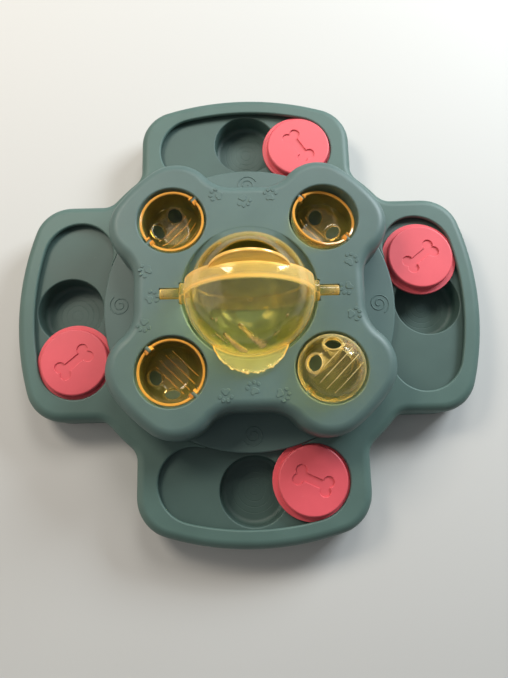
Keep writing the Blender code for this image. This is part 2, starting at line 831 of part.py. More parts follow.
def make_cup_mesh():
    """One flip cup about its pivot: local X along the pegs, opening up, snap slots in the rim."""
    inner_radius_of_cup = cup_radius - cup_wall
    flat_share = cup_flat_radius / cup_radius
    outside = cup_profile(cup_radius, cup_flat_radius, cup_rim_rise) + [(0.0, cup_rim_rise)]
    cup = turned_solid("cup", outside, cup_segments)
    inside = cup_profile(inner_radius_of_cup, inner_radius_of_cup * flat_share, cup_rim_rise)
    inside += [(inside[-1][0], cup_rim_rise + overrun), (0.0, cup_rim_rise + overrun)]
    cut(cup, turned_solid("cup_inside", inside, cup_segments))
    slot_radius = peg_radius + peg_clearance
    bore = post("peg_bore", slot_radius, -cup_radius - overrun, cup_radius + overrun, boss_segments)
    bore.data.transform(Matrix.Rotation(math.pi / 2.0, 4, "Y"))
    cut(cup, bore)
    reach = cup_radius + overrun
    cut(cup, block("snap_mouth", (-reach, -snap_mouth / 2.0, 0.0), (reach, snap_mouth / 2.0, reach)))
    floor_z = -math.sqrt(cup_radius ** 2 - cup_hole_along ** 2 - cup_hole_out ** 2)
    holes = []
    for side in (-1.0, 1.0):
        lean = Vector((side * cup_hole_along, cup_hole_out, floor_z))
        hole = post("treat_hole", cup_hole_radius, cup_radius - 3.0 * cup_wall, cup_radius + overrun,
                    boss_segments)
        hole.data.transform(lean.to_track_quat("Z", "X").to_matrix().to_4x4())
        holes.append(hole)
    cut(cup, joined(holes))
    mesh = cup.data.copy()
    remove(cup)
    return mesh


def make_cup(key, mesh, material):
    """One flip cup on its pegs, at its rest tilt."""
    angle = cup_angles[key]
    place = around([angle], cup_place)[0]
    pivot = empty(f"cup_{key}_pivot", (place[0], place[1], cup_axis_z), angle - math.pi / 2.0)
    cup = bpy.data.objects.new(f"cup_{key}", mesh)
    bpy.context.scene.collection.objects.link(cup)
    cup.rotation_euler = (cup_rest_tilt[key], 0.0, 0.0)
    return finish(cup, f"cup_{key}", material, pivot)


def ball_arc(radius, start_y, end_y, steps):
    """(radius, y) points of a sphere's outline between two places on its axis."""
    start = math.asin(max(-1.0, min(1.0, start_y / radius)))
    end = math.asin(max(-1.0, min(1.0, end_y / radius)))
    points = []
    for i in range(steps + 1):
        angle = start + (end - start) * i / steps
        points.append((radius * math.cos(angle), radius * math.sin(angle)))
    return points


def to_ball_axis(obj):
    """Lays a solid turned about Z along Y, so that its +Z end looks back, and lifts it to the ball."""
    obj.data.transform(Matrix.Rotation(-math.pi / 2.0, 4, "X"))
    return obj


def make_ball_front(material, pivot):
    """Outer half of the ball: thick rim band, two push tabs, ears and pins."""
    outside = ball_arc(ball_radius, -ball_radius, rim_set_back, 8)
    outside = [(0.0, -ball_radius)] + outside[1:] + [(0.0, rim_set_back)]
    shell = to_ball_axis(turned_solid("ball_front_shell", outside, ball_segments))
    for number, angle in enumerate(tab_angles):
        tab = post(f"tab_{number}", tab_radius, -tab_thickness / 2.0, tab_thickness / 2.0, ball_segments,
                   (0.0, tab_reach - tab_radius))
        tab.data.transform(Matrix.Rotation(math.pi / 2.0 - angle, 4, "X"))
        add(shell, tab)
    for side in (-1.0, 1.0):
        lay = Matrix.Rotation(side * math.pi / 2.0, 4, "Y")
        start = inner_radius - inner_wall
        profile = [(0.0, start), (ear_radius, start), (ear_radius, ear_reach), (pin_radius, ear_reach),
                   (pin_radius, pin_reach), (0.0, pin_reach)]
        ear = turned_solid("ear", profile, boss_segments)
        ear.data.transform(lay)
        add(shell, ear)
    band_radius = inner_radius + band_gap
    cavity_radius = ball_radius - ball_wall
    inside = [(0.0, -cavity_radius)] + ball_arc(cavity_radius, -cavity_radius, -band_start, 5)[1:]
    inside += ball_arc(band_radius, -band_start, band_radius, 6)[:-1] + [(0.0, band_radius)]
    cut(shell, to_ball_axis(turned_solid("ball_inside", inside, ball_segments)))
    return finish(shell, "ball_front_shell", material, pivot)


def make_ball_back(material, pivot):
    """Inner half of the ball, let into the rim band, with the treat opening near its top."""
    start = -band_start + seat_gap
    outside = [(0.0, start)] + ball_arc(inner_radius, start, inner_radius, 6)[:-1] + [(0.0, inner_radius)]
    shell = to_ball_axis(turned_solid("ball_back_shell", outside, ball_segments))
    cavity = inner_radius - inner_wall
    inside = [(0.0, start - overrun), (cavity, start - overrun)]
    inside += ball_arc(cavity, 0.0, cavity, 4)[:-1] + [(0.0, cavity)]
    cut(shell, to_ball_axis(turned_solid("back_inside", inside, ball_segments)))
    chord = rim_set_back + tab_thickness / 2.0 + treat_edge_gap
    lean = math.asin((chord - treat_centre) / treat_radius)
    opening = arc((0.0, treat_centre), treat_radius, lean, math.pi - lean, 8)
    cut(shell, loft("treat_opening", [(opening, 0.0), (opening, ball_radius)]))
    return finish(shell, "ball_back_shell", material, pivot)


def make_foot(key, material):
    """A rubber foot in the ring under a well."""
    place = around([lobe_angles[key]], slide_radius)[0]
    profile = [(0.0, 0.0), (foot_radius - foot_edge, 0.0), (foot_radius, foot_edge),
               (foot_radius, foot_thickness), (0.0, foot_thickness)]
    foot = turned_solid(f"foot_{key}", profile, foot_segments, (place[0], place[1], 0.0))
    return finish(foot, f"foot_{key}", material)


def make_screws(name, places, head_top_z, tip_z, material):
    """A set of like screws from below: a round head and a plain shank."""
    for i, place in enumerate(places):
        profile = [(0.0, head_top_z - screw_head_height), (screw_head_taper, head_top_z - screw_head_height),
                   (screw_head_radius, head_top_z), (screw_radius, head_top_z), (screw_radius, tip_z),
                   (0.0, tip_z + screw_radius)]
        label = f"{name}_{i + 1}"
        screw = turned_solid(label, profile, screw_segments, (place[0], place[1], 0.0))
        finish(screw, label, material)


for old in list(bpy.data.objects):
    bpy.data.objects.remove(old)

base_green = plastic("base_green_plastic", (0.035, 0.125, 0.118), 0.55)
cover_green = plastic("cover_green_plastic", (0.040, 0.140, 0.135), 0.5)
pan_green = plastic("pan_green_plastic", (0.030, 0.110, 0.105), 0.6)
coral = plastic("coral_plastic", (0.62, 0.105, 0.135), 0.5)
amber = plastic("amber_plastic", (0.85, 0.60, 0.06), 0.08, 0.55, 0.6)
black_rubber = plastic("black_rubber", (0.02, 0.02, 0.02), 0.85)
screw_steel = steel("screw_steel", (0.55, 0.55, 0.55), 0.35)

make_base_shell(base_green)
make_base_pan(pan_green)
make_top_cover(cover_green)
for lobe in lobe_angles:
    make_slider(lobe, coral)
    make_foot(lobe, black_rubber)
flip_cup_mesh = make_cup_mesh()
for quarter_name in cup_angles:
    make_cup(quarter_name, flip_cup_mesh, amber)
ball_pivot = empty("ball_pivot", (0.0, 0.0, ball_axis_z), 0.0)
make_ball_front(amber, ball_pivot)
make_ball_back(amber, ball_pivot)
shell_head_z = seat_z - shell_boss_depth - seat_gap - boss_cup_floor - seat_gap
make_screws("base_screw", shell_boss_places(), shell_head_z, seat_z - screw_tip_room, screw_steel)
cover_tip_z = seat_z + cover_boss_height - pilot_end - screw_tip_room
make_screws("cover_screw", cover_boss_places(), pan_bottom_z - seat_gap, cover_tip_z, screw_steel)
bpy.context.view_layer.update()
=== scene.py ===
from math import acos, asin, atan2, copysign, cos, hypot, pi, radians, sin, sqrt

import bmesh
import bpy
from mathutils import Matrix, Vector


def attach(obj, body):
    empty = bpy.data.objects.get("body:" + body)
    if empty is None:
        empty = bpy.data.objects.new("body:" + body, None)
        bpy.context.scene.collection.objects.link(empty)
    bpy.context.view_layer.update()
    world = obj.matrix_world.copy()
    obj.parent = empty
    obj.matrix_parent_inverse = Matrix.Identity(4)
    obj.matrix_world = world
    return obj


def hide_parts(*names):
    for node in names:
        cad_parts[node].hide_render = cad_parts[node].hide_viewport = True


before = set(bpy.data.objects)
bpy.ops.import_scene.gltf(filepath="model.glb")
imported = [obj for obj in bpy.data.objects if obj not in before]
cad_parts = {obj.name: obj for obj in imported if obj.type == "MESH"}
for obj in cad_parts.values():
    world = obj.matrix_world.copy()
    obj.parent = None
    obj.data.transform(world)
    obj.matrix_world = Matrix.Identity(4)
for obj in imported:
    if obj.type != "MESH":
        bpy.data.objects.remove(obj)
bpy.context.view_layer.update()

# ---------------------------------------------------------------------------------------------------------
# Base shell: the upper base moulding in green polypropylene, injection moulded, open underneath. Its rim
# rounds over outside, and a thin lip round each kidney-shaped channel holds the discs' flanges down.
channel_z = 0.020
seat_z = 0.0203
lip_z = 0.0225
rim_z = 0.0245
shell_foot_z = 0.0015
shell_wall = 0.0025
rim_round = 0.006
lip_round = 0.0011
undercut = 0.0034
channel_play = 0.0004
channel_run_in = 0.0022
lobe_reach = 0.1495
lobe_end_radius = 0.182
lobe_half_width = 0.0715
lobe_corner_radius = 0.025
waist_radius = 0.116
waist_fillet = 0.012
rim_width = 0.0115
slide_radius = 0.116
slide_end_angle = radians(18.4)
disc_radius = 0.0211
skirt_radius = 0.0934
skirt_ring_radius = 0.0911
play = 0.0003
boss_radius = 0.003
boss_set_in = 0.0056
boss_z = seat_z - 0.008
boss_top_z = rim_z - 0.002
pilot_radius = 0.0012
overrun = 0.004
lobe_angles = {"front": 270.0, "right": 0.0, "rear": 90.0, "left": 180.0}
lobe_headings = [radians(angle) for angle in lobe_angles.values()]
lobe_centre = (0.0, lobe_end_radius - lobe_reach)
corner_x = lobe_half_width - lobe_corner_radius
corner_y = lobe_centre[1] - sqrt((lobe_end_radius - lobe_corner_radius) ** 2 - corner_x ** 2)
lobe_corner = (corner_x, corner_y)
slide_end = (slide_radius * sin(slide_end_angle), -slide_radius * cos(slide_end_angle))
middle = (0.0, 0.0)
level_share = 0.99999
level_edge = radians(15.0)
weld_distance = 0.000004
shortest_edge = 0.000002


def arc(centre, radius, start, end, steps):
    turn = [start + (end - start) * i / steps for i in range(steps + 1)]
    return [Vector((centre[0] + radius * cos(a), centre[1] + radius * sin(a))) for a in turn]


def heading(origin, target):
    return atan2(target[1] - origin[1], target[0] - origin[0])


def turned(points, angle):
    c, s = cos(angle), sin(angle)
    return [Vector((p.x * c - p.y * s, p.x * s + p.y * c)) for p in points]


def four_fold(half):
    """A whole outline from half of one quarter, which runs from the front to the diagonal."""
    quarter = [Vector((-p.x, p.y)) for p in reversed(half[1:-1])] + half
    return [p for i in range(4) for p in turned(quarter, i * pi / 2.0)]


def inset(points, distance):
    moved_in = []
    for i, point in enumerate(points):
        before = (point - points[i - 1]).normalized()
        after = (points[(i + 1) % len(points)] - point).normalized()
        normal = Vector((-before.y - after.y, before.x + after.x)).normalized()
        moved_in.append(point + normal * (distance / max(normal.dot(Vector((-after.y, after.x))), 0.5)))
    return moved_in


def rounding(radius, top_z, steps):
    """(inset, z) steps of a rounded edge that ends level at top_z."""
    turn = [pi / 2.0 * i / steps for i in range(steps + 1)]
    return [(radius * (1.0 - cos(a)), top_z - radius * (1.0 - sin(a))) for a in turn]


def placed(name, data):
    obj = bpy.data.objects.new(name, data)
    bpy.context.scene.collection.objects.link(obj)
    return obj


def moved(obj, *steps):
    """Carries a mesh through matrices, the last of them first."""
    whole = Matrix.Identity(4)
    for step in steps:
        whole = whole @ step
    obj.data.transform(whole)
    return obj


def shift(x, y, z):
    return Matrix.Translation((x, y, z))


def solid(name, verts, faces):
    mesh = bpy.data.meshes.new(name)
    mesh.from_pydata([tuple(v) for v in verts], [], faces)
    bm = bmesh.new()
    bm.from_mesh(mesh)
    bmesh.ops.delete(bm, geom=[v for v in bm.verts if not v.link_faces], context="VERTS")
    bmesh.ops.recalc_face_normals(bm, faces=bm.faces)
    bm.to_mesh(mesh)
    bm.free()
    return placed(name, mesh)


def loft(name, levels):
    """A closed solid through (outline, z) levels of equal point counts."""
    count = len(levels[0][0])
    verts = [Vector((p.x, p.y, z)) for points, z in levels for p in points]
    faces = [tuple(range(count))[::-1], tuple(range((len(levels) - 1) * count, len(levels) * count))]
    for low in range(0, (len(levels) - 1) * count, count):
        for i in range(count):
            j = (i + 1) % count
            faces.append((low + i, low + j, low + count + j, low + count + i))
    return solid(name, verts, faces)


def spun(name, profile, segments, place=middle):
    """A solid turned about Z from (radius, z) points that start and end on the axis."""
    verts = [Vector((0.0, 0.0, profile[0][1]))]
    for radius, z in profile[1:-1]:
        verts += [Vector((p.x, p.y, z)) for p in arc(middle, radius, 0.0, 2.0 * pi, segments)[:-1]]
    verts.append(Vector((0.0, 0.0, profile[-1][1])))
    last = len(verts) - 1
    faces = []
    for i in range(segments):
        j = (i + 1) % segments
        faces.append((0, 1 + i, 1 + j))
        faces.append((last - segments + i, last - segments + j, last))
        for low in range(1, last - segments, segments):
            faces.append((low + i, low + j, low + segments + j, low + segments + i))
    return moved(solid(name, verts, faces), shift(place[0], place[1], 0.0))


def post(name, radius, low, high, segments, place=middle):
    return spun(name, [(0.0, low), (radius, low), (radius, high), (0.0, high)], segments, place)


def discard(obj):
    mesh = obj.data
    bpy.data.objects.remove(obj)
    bpy.data.meshes.remove(mesh)


def joined(objects):
    bm = bmesh.new()
    for obj in objects:
        bm.from_mesh(obj.data)
    bm.to_mesh(objects[0].data)
    bm.free()
    for obj in objects[1:]:
        discard(obj)
    return objects[0]


def settle(obj):
    """Applies an object's modifiers to its mesh."""
    bpy.context.view_layer.update()
    mesh = bpy.data.meshes.new_from_object(obj.evaluated_get(bpy.context.evaluated_depsgraph_get()))
    obj.modifiers.clear()
    old = obj.data
    obj.data = mesh
    bpy.data.meshes.remove(old)
    return obj


def combine(body, tool, operation):
    modifier = body.modifiers.new(operation, "BOOLEAN")
    modifier.operation = operation
    modifier.solver = "EXACT"
    modifier.object = tool
    settle(body)
    discard(tool)
    return body


def add(body, tool):
    return combine(body, tool, "UNION")


def cut(body, tool):
    return combine(body, tool, "DIFFERENCE")


def around(angles, radius):
    return [(radius * cos(a), radius * sin(a)) for a in angles]


def at_each(places, make):
    return joined([make(place) for place in places])


def posts(places, *sizes):
    """A post of these sizes at each place, as one tool."""
    return at_each(places, lambda place: post("post", *sizes, place))


def linear(code, share=1.0):
    """A share of an sRGB hex colour as linear RGBA."""
    value = [int(code[i:i + 2], 16) / 255.0 for i in (1, 3, 5)]
    return [(v / 12.92 if v <= 0.04045 else ((v + 0.055) / 1.055) ** 2.4) * share for v in value] + [1.0]


def feed(tree, target, values):
    """Sets a node's attributes and inputs. A node, (node, output) or list of them is linked in."""
    for key, value in values.items():
        listed = value if isinstance(value, list) else [value]
        sources = [source if isinstance(source, tuple) else (source, 0) for source in listed]
        if isinstance(sources[0][0], bpy.types.Node):
            for source, output in sources:
                tree.links.new(source.outputs[output], target.inputs[key])
        elif isinstance(key, str) and hasattr(target, key):
            setattr(target, key, value)
        else:
            target.inputs[key].default_value = value
    return target


def node(tree, kind, values=None):
    return feed(tree, tree.nodes.new(kind), values or {})


def maths(tree, operation, *values):
    return node(tree, "ShaderNodeMath", {"operation": operation, **dict(enumerate(values))})


def remapped(tree, value, low, high, start=0.0, end=1.0):
    return node(tree, "ShaderNodeMapRange", {"Value": value, "From Min": start, "From Max": end,
                                             "To Min": low, "To Max": high})


def noise(tree, place, scale, detail=2.0, roughness=0.5):
    return node(tree, "ShaderNodeTexNoise", {"Vector": place, "Scale": scale, "Detail": detail,
                                             "Roughness": roughness})


def ramp(tree, value, *stops):
    """A colour ramp of two (place, colour) stops."""
    made = node(tree, "ShaderNodeValToRGB", {"Fac": value})
    for element, (place, colour) in zip(made.color_ramp.elements, stops):
        element.position = place
        element.color = colour
    return made


def bumped(tree, height, strength, distance):
    return node(tree, "ShaderNodeBump", {"Strength": strength, "Distance": distance, "Height": height})


def new_material(name, settings):
    """A material with its tree, its shader and the object's own coordinates."""
    material = bpy.data.materials.new(name)
    material.use_nodes = True
    tree = material.node_tree
    shader = feed(tree, tree.nodes["Principled BSDF"], settings)
    return material, tree, shader, (node(tree, "ShaderNodeTexCoord"), "Object")


def moulded_plastic(name, colour, worn, roughness, grain_depth):
    """Satin moulded polypropylene: fine spark-eroded grain, faint flow mottling, pale scuffs from claws."""
    material, tree, shader, place = new_material(name, {"IOR": 1.49})
    # Flow mottling, about 35 mm across
    cloud = noise(tree, place, 28.0, 4.0, 0.55)
    tint = ramp(tree, cloud, (0.35, linear(colour, 0.88)), (0.68, linear(colour)))
    # Scuffs: thin stretched streaks a few millimetres long, drawn wider than real ones so that they show
    streaks = node(tree, "ShaderNodeMapping", {"Rotation": (0.0, 0.0, 0.7), "Scale": (1.0, 7.0, 1.0),
                                               "Vector": place})
    black, white = (0.0, 0.0, 0.0, 1.0), (1.0, 1.0, 1.0, 1.0)
    fine = ramp(tree, noise(tree, streaks, 130.0, 5.0, 0.7), (0.66, black), (0.74, white))
    where = ramp(tree, noise(tree, place, 17.0), (0.5, black), (0.72, white))
    wear = maths(tree, "MULTIPLY", maths(tree, "MULTIPLY", fine, where), 0.4)
    mixed = node(tree, "ShaderNodeMix", {"data_type": "RGBA", "Factor": wear, "A": tint, "B": linear(worn)})
    # Grain: 0.35 mm cells, as fine as the render can hold
    grain = bumped(tree, noise(tree, place, 2800.0, 2.0, 0.6), 0.35, grain_depth)
    feed(tree, shader, {"Base Color": (mixed, "Result"), "Normal": grain,
                        "Roughness": remapped(tree, cloud, roughness - 0.05, roughness + 0.09)})
    return material


def level_normals(mesh, sharp):
    """Gives corners on level faces the level's own normal, so that wide flats shade evenly to their edges."""
    level = [0.0] * len(mesh.vertices)
    for face in mesh.polygons:
        if abs(face.normal.z) > level_share:
            for vertex in face.vertices:
                level[vertex] = copysign(1.0, face.normal.z)
    normals = [Vector(corner.vector) for corner in mesh.corner_normals]
    for face in mesh.polygons:
        for i in face.loop_indices:
            up = level[mesh.loops[i].vertex_index]
            if up and face.normal.z * up > cos(radians(sharp)):
                normals[i] = Vector((0.0, 0.0, up))
    mesh.normals_split_custom_set(normals)


def finished(obj, name, material, body, nodes, sharp=34.0):
    """Names a finished piece, shades it and hands it to the frame."""
    obj.name = name
    obj.data.name = name
    obj.data.materials.clear()
    obj.data.materials.append(material)
    bm = bmesh.new()
    bm.from_mesh(obj.data)
    bmesh.ops.remove_doubles(bm, verts=bm.verts, dist=weld_distance)
    bmesh.ops.dissolve_degenerate(bm, edges=bm.edges, dist=shortest_edge)
    bm.normal_update()
    wide = [face for face in bm.faces if len(face.verts) > 4 and abs(face.normal.z) > level_share]
    bmesh.ops.triangulate(bm, faces=wide, ngon_method="BEAUTY")
    for face in bm.faces:
        face.smooth = True
    for edge in bm.edges:
        turn = edge.calc_face_angle(0.0)
        levels = [abs(face.normal.z) > level_share for face in edge.link_faces]
        edge.smooth = turn < radians(sharp) and not (any(levels) and not all(levels) and turn > level_edge)
    bm.to_mesh(obj.data)
    bm.free()
    weighted = obj.modifiers.new("weighted normals", "WEIGHTED_NORMAL")
    weighted.mode = "FACE_AREA"
    weighted.keep_sharp = True
    settle(obj)
    level_normals(obj.data, sharp)
    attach(obj, body)
    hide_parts(*nodes)


def base_outline():
    """Four wide lobes joined by a round waist."""
    fillet_x = lobe_half_width + waist_fillet
    fillet = (fillet_x, -sqrt((waist_radius + waist_fillet) ** 2 - fillet_x ** 2))
    half = arc(lobe_centre, lobe_end_radius, radians(-90.0), heading(lobe_centre, lobe_corner), 12)
    half += arc(lobe_corner, lobe_corner_radius, heading(lobe_centre, lobe_corner), 0.0, 16)[1:]
    half += arc(fillet, waist_fillet, radians(180.0), heading(fillet, middle), 8)
    half += arc(middle, waist_radius, heading(middle, fillet), radians(-45.0), 4)[1:]
    return four_fold(half)


def channel_outline(grow):
    """The front lobe's kidney-shaped channel, its inner side run in under the skirt."""
    end_radius = disc_radius + channel_play
    outer_radius = lobe_end_radius - rim_width
    reach_x = slide_end[0] + end_radius
    rise = slide_end[1] - lobe_centre[1]
    corner_radius = (outer_radius ** 2 - reach_x ** 2 - rise ** 2) / (2.0 * (outer_radius - reach_x))
    corner = (reach_x - corner_radius, slide_end[1])
    turn = heading(lobe_centre, corner)
    half = arc(lobe_centre, outer_radius + grow, radians(-90.0), turn, 10)
    half += arc(corner, corner_radius + grow, turn, 0.0, 12)[1:]
    half += arc(slide_end, end_radius + grow, 0.0, heading(slide_end, middle), 22)[1:]
    half += arc(middle, skirt_ring_radius - channel_run_in, heading(middle, slide_end), radians(-90.0), 4)
    return half + [Vector((-p.x, p.y)) for p in reversed(half[1:-1])]


def channel_tools(levels):
    return at_each(lobe_angles.values(), lambda angle: loft(
        "channel", [(turned(channel_outline(grow), radians(angle + 90.0)), z) for grow, z in levels]))


def shell_boss_places():
    """Two screw bosses in the outer corners of each lobe."""
    corner = Vector(lobe_corner)
    outward = (corner - Vector(slide_end)).normalized()
    place = corner + outward * (lobe_corner_radius - shell_wall - boss_set_in)
    return [turned([Vector((side * place.x, place.y))], radians(angle + 90.0))[0]
            for angle in lobe_angles.values() for side in (-1.0, 1.0)]


base_plastic = moulded_plastic("base_green_moulded_polypropylene", "#557069", "#8d9d98", 0.5, 0.00006)
outline = base_outline()
shell = loft("base_shell_moulding", [(outline, shell_foot_z)]
             + [(inset(outline, depth), z) for depth, z in rounding(rim_round, rim_z, 8)])
inner = inset(outline, shell_wall)
cut(shell, loft("shell_inside", [(inner, shell_foot_z - overrun), (inner, seat_z)]))
cut(shell, post("shell_bore", skirt_radius + play, shell_foot_z - overrun, rim_z + overrun, 176))
mouth = [(0.0, seat_z - overrun)] + rounding(lip_round, rim_z, 5) + [(lip_round, rim_z + overrun)]
cut(shell, channel_tools(mouth))
cut(shell, channel_tools([(undercut, seat_z - overrun), (undercut, lip_z)]))
shell_bosses = shell_boss_places()
add(shell, posts(shell_bosses, boss_radius, boss_z, boss_top_z, 24))
cut(shell, posts(shell_bosses, pilot_radius, boss_z - overrun, seat_z, 16))
finished(shell, "base_shell_moulding", base_plastic, "base", ["base_shell"])

# ---------------------------------------------------------------------------------------------------------
# Base pan: the lower base moulding, in the same polypropylene. It holds the channels' floors, four deep
# wells for food with turned rings on their floors, and the dish under the ball. Eight screws hold it.
pan_z = 0.018
well_radius = 0.0212
well_wall = 0.002
well_floor_z = 0.0058
well_bottom_z = 0.004
well_fillet = 0.0033
well_edge = 0.0009
ring_pitch = 0.0036
ring_half_width = 0.0005
ring_depth = 0.00018
ball_axis_z = 0.052
dish_radius = 0.041
dish_wall = 0.0018
rib_half_width = 0.0009
rib_foot_z = pan_z - 0.0065
rib_ring_radius = 0.078
rib_ring_inside = 0.0762
rib_start = 0.0771
rib_end = 0.0938
diagonal_rib_end = 0.102
foot_ring_radius = 0.0128
foot_ring_z = (0.0022, 0.0049)
foot_socket_radius = 0.0113
boss_cup_radius = 0.0048
boss_cup_z = 0.010
boss_bore_radius = 0.0033
boss_bore_z = 0.012
screw_hole_radius = 0.0014
screw_hole_z = (0.006, 0.014)
cover_screw_reach = 0.0651
# Painted shade: the pan's green is set darker than the shell's, for the shade on its sunken channel floors
# and wells
shaded_pan_plastic = moulded_plastic("pan_green_polypropylene_painted_shade", "#4a625c", "#86968f", 0.52, 0.00006)
pan_outline = inset(outline, shell_wall + play)
pan = loft("base_pan_moulding", [(pan_outline, pan_z), (pan_outline, channel_z)])
inside_z = (pan_z + channel_z) / 2.0
well_places = around(lobe_headings, slide_radius)


def well_tool(place):
    """The well's inside, with shallow turned rings on its floor."""
    profile = [(0.0, well_floor_z)]
    for i in range(1, 5):
        centre = ring_pitch * i
        profile += [(centre - ring_half_width, well_floor_z), (centre, well_floor_z - ring_depth),
                    (centre + ring_half_width, well_floor_z)]
    fillet = reversed(rounding(well_fillet, 0.0, 6))
    profile += [(well_radius - depth, well_floor_z - z) for depth, z in fillet]
    profile += [(well_radius + depth, z) for depth, z in rounding(well_edge, channel_z, 4)]
    profile += [(well_radius + well_edge, channel_z + overrun), (0.0, channel_z + overrun)]
    return spun("well", profile, 96, place)


def dish_tool(radius, top_z):
    edge = acos((ball_axis_z - top_z) / radius)
    profile = [(radius * sin(edge * i / 12), ball_axis_z - radius * cos(edge * i / 12)) for i in range(13)]
    return spun("dish", profile + [(profile[-1][0], top_z + 0.0006), (0.0, top_z + 0.0006)], 96)


def strip(start, end, half):
    """A rectangle along X."""
    return [Vector((start, -half)), Vector((end, -half)), Vector((end, half)), Vector((start, half))]


def spin(angle, axis):
    return Matrix.Rotation(angle, 4, axis)


def pan_rib(angle):
    rib = strip(rib_start, diagonal_rib_end if angle % 90.0 else rib_end, rib_half_width)
    return moved(loft("rib", [(rib, rib_foot_z), (rib, inside_z)]), spin(radians(angle), "Z"))


add(pan, cut(post("pan_ring", rib_ring_radius, rib_foot_z, inside_z, 96),
             post("pan_ring_inside", rib_ring_inside, rib_foot_z - overrun, pan_z, 96)))
add(pan, at_each([45.0 * i for i in range(8)], pan_rib))
add(pan, posts(well_places, well_radius + well_wall, well_bottom_z, inside_z, 96))
add(pan, posts(well_places, foot_ring_radius, *foot_ring_z, 64))
add(pan, posts(shell_bosses, boss_cup_radius, boss_cup_z, inside_z, 32))
add(pan, dish_tool(dish_radius + dish_wall, inside_z))
cut(pan, at_each(well_places, well_tool))
cut(pan, posts(well_places, foot_socket_radius, -overrun, well_bottom_z, 64))
cut(pan, posts(shell_bosses, boss_bore_radius, boss_bore_z, channel_z + overrun, 32))
cut(pan, posts(shell_bosses, screw_hole_radius, *screw_hole_z, 20))
cover_screw_places = around(lobe_headings, cover_screw_reach)
cut(pan, posts(cover_screw_places, screw_hole_radius, pan_z - overrun, channel_z + overrun, 20))
cut(pan, dish_tool(dish_radius, channel_z))
finished(pan, "base_pan_moulding", shaded_pan_plastic, "base", ["base_pan"])

# ---------------------------------------------------------------------------------------------------------
# Top cover: the upper moulding in green polypropylene, a clover block on a round skirt, hollow underneath.
# It carries four cup pockets with pivot pegs, the ball's pocket and pin slots, raised paws and spirals.
lobe_seat_z = 0.0248
cover_z = 0.0535
above_z = cover_z + overrun
skirt_z = 0.0254
skirt_wall = 0.0022
cover_wall = 0.0022
cover_round = 0.007
clover_radius = 0.1
clover_corner_radius = 0.025
clover_corner_angle = radians(53.7716)
scoop_reach = 0.0695
scoop_fillet = 0.02
throat_radius = 0.0889
hole_round = 0.001
cup_place = 0.0655
cup_axis_z = 0.051
pocket_radius = 0.021
pocket_floor_z = 0.028
peg_radius = 0.0015
peg_length = 0.0038
peg_root = 0.0011
cover_boss_radius = 0.0034
cover_boss_top_z = seat_z + 0.016
cover_pilot_top_z = seat_z + 0.013
overlap = 0.002
shelf_width = 0.0042
shelf_root = 0.0012
shelf_foot = 0.0026
shelf_drop = 0.0075
shelf_slope = 0.2495
paw_sink = 0.00012
spiral_sink = 0.00007
ball_pocket_radius = 0.0405
rim_set_back = 0.0068
pin_slot_radius = 0.0035
pin_slot_reach = 0.0533
ear_slot_radius = 0.0067
ear_slot_reach = 0.0417
cup_angles = {"rear_right": 45.0, "rear_left": 135.0, "front_left": 225.0, "front_right": 315.0}
cup_headings = {key: radians(angle) for key, angle in cup_angles.items()}
sides = (-1.0, 1.0)


def clover_outline():
    reach = clover_radius - clover_corner_radius
    corner = (reach * cos(clover_corner_angle), -reach * sin(clover_corner_angle))
    scoop_y = -scoop_reach - scoop_fillet
    span = clover_corner_radius + scoop_fillet
    scoop = (corner[0] - sqrt(span ** 2 - (corner[1] - scoop_y) ** 2), scoop_y)
    half = [Vector((0.0, -scoop_reach))]
    half += arc(scoop, scoop_fillet, radians(90.0), heading(scoop, corner), 14)
    half += arc(corner, clover_corner_radius, heading(corner, scoop), heading(middle, corner), 22)[1:]
    half += arc(middle, clover_radius, heading(middle, corner), radians(-45.0), 6)[1:]
    return four_fold(half)


def hole_tool(radius, low, segments, place=middle):
    """A round hole's tool with a rounded top edge."""
    profile = [(0.0, low), (radius, low)]
    profile += [(radius + depth, z) for depth, z in rounding(hole_round, cover_z, 4)]
    return spun("hole", profile + [(radius + hole_round, above_z), (0.0, above_z)], segments, place)


def slot_tools(radius, reach):
    """U-shaped slots through the ball pocket's wall, open at the top, along X."""
    rise = above_z - ball_axis_z
    section = arc(middle, radius, pi, 2.0 * pi, 20) + [Vector((radius, rise)), Vector((-radius, rise))]
    lay = Matrix(((0.0, 0.0, 1.0), (1.0, 0.0, 0.0), (0.0, 1.0, 0.0))).to_4x4()
    return at_each(sides, lambda side: moved(loft("slot", [(section, x) for x in sorted(
        (side * (ball_pocket_radius - cover_wall), side * reach))]), shift(0.0, 0.0, ball_axis_z), lay))


def saddle_tools(half, near, far):
    """The blocks left standing in the hollow under a pair of slots."""
    blocks = [strip(*sorted((side * near, side * far)), half) for side in sides]
    return at_each(blocks, lambda block: loft("saddle", [(block, ball_axis_z - half), (block, above_z)]))


def peg(angle, side):
    """A pivot peg with a rounded end, standing in from a pocket's wall."""
    end = pocket_radius - peg_length
    profile = [(0.0, end), (0.0009, end), (0.0013, end + 0.0002), (peg_radius, end + 0.0006),
               (peg_radius, pocket_radius + peg_root), (0.0, pocket_radius + peg_root)]
    return moved(spun("peg", profile, 28), shift(*around([angle], cup_place)[0], cup_axis_z),
                 spin(angle, "Z"), spin(-side * pi / 2.0, "X"))


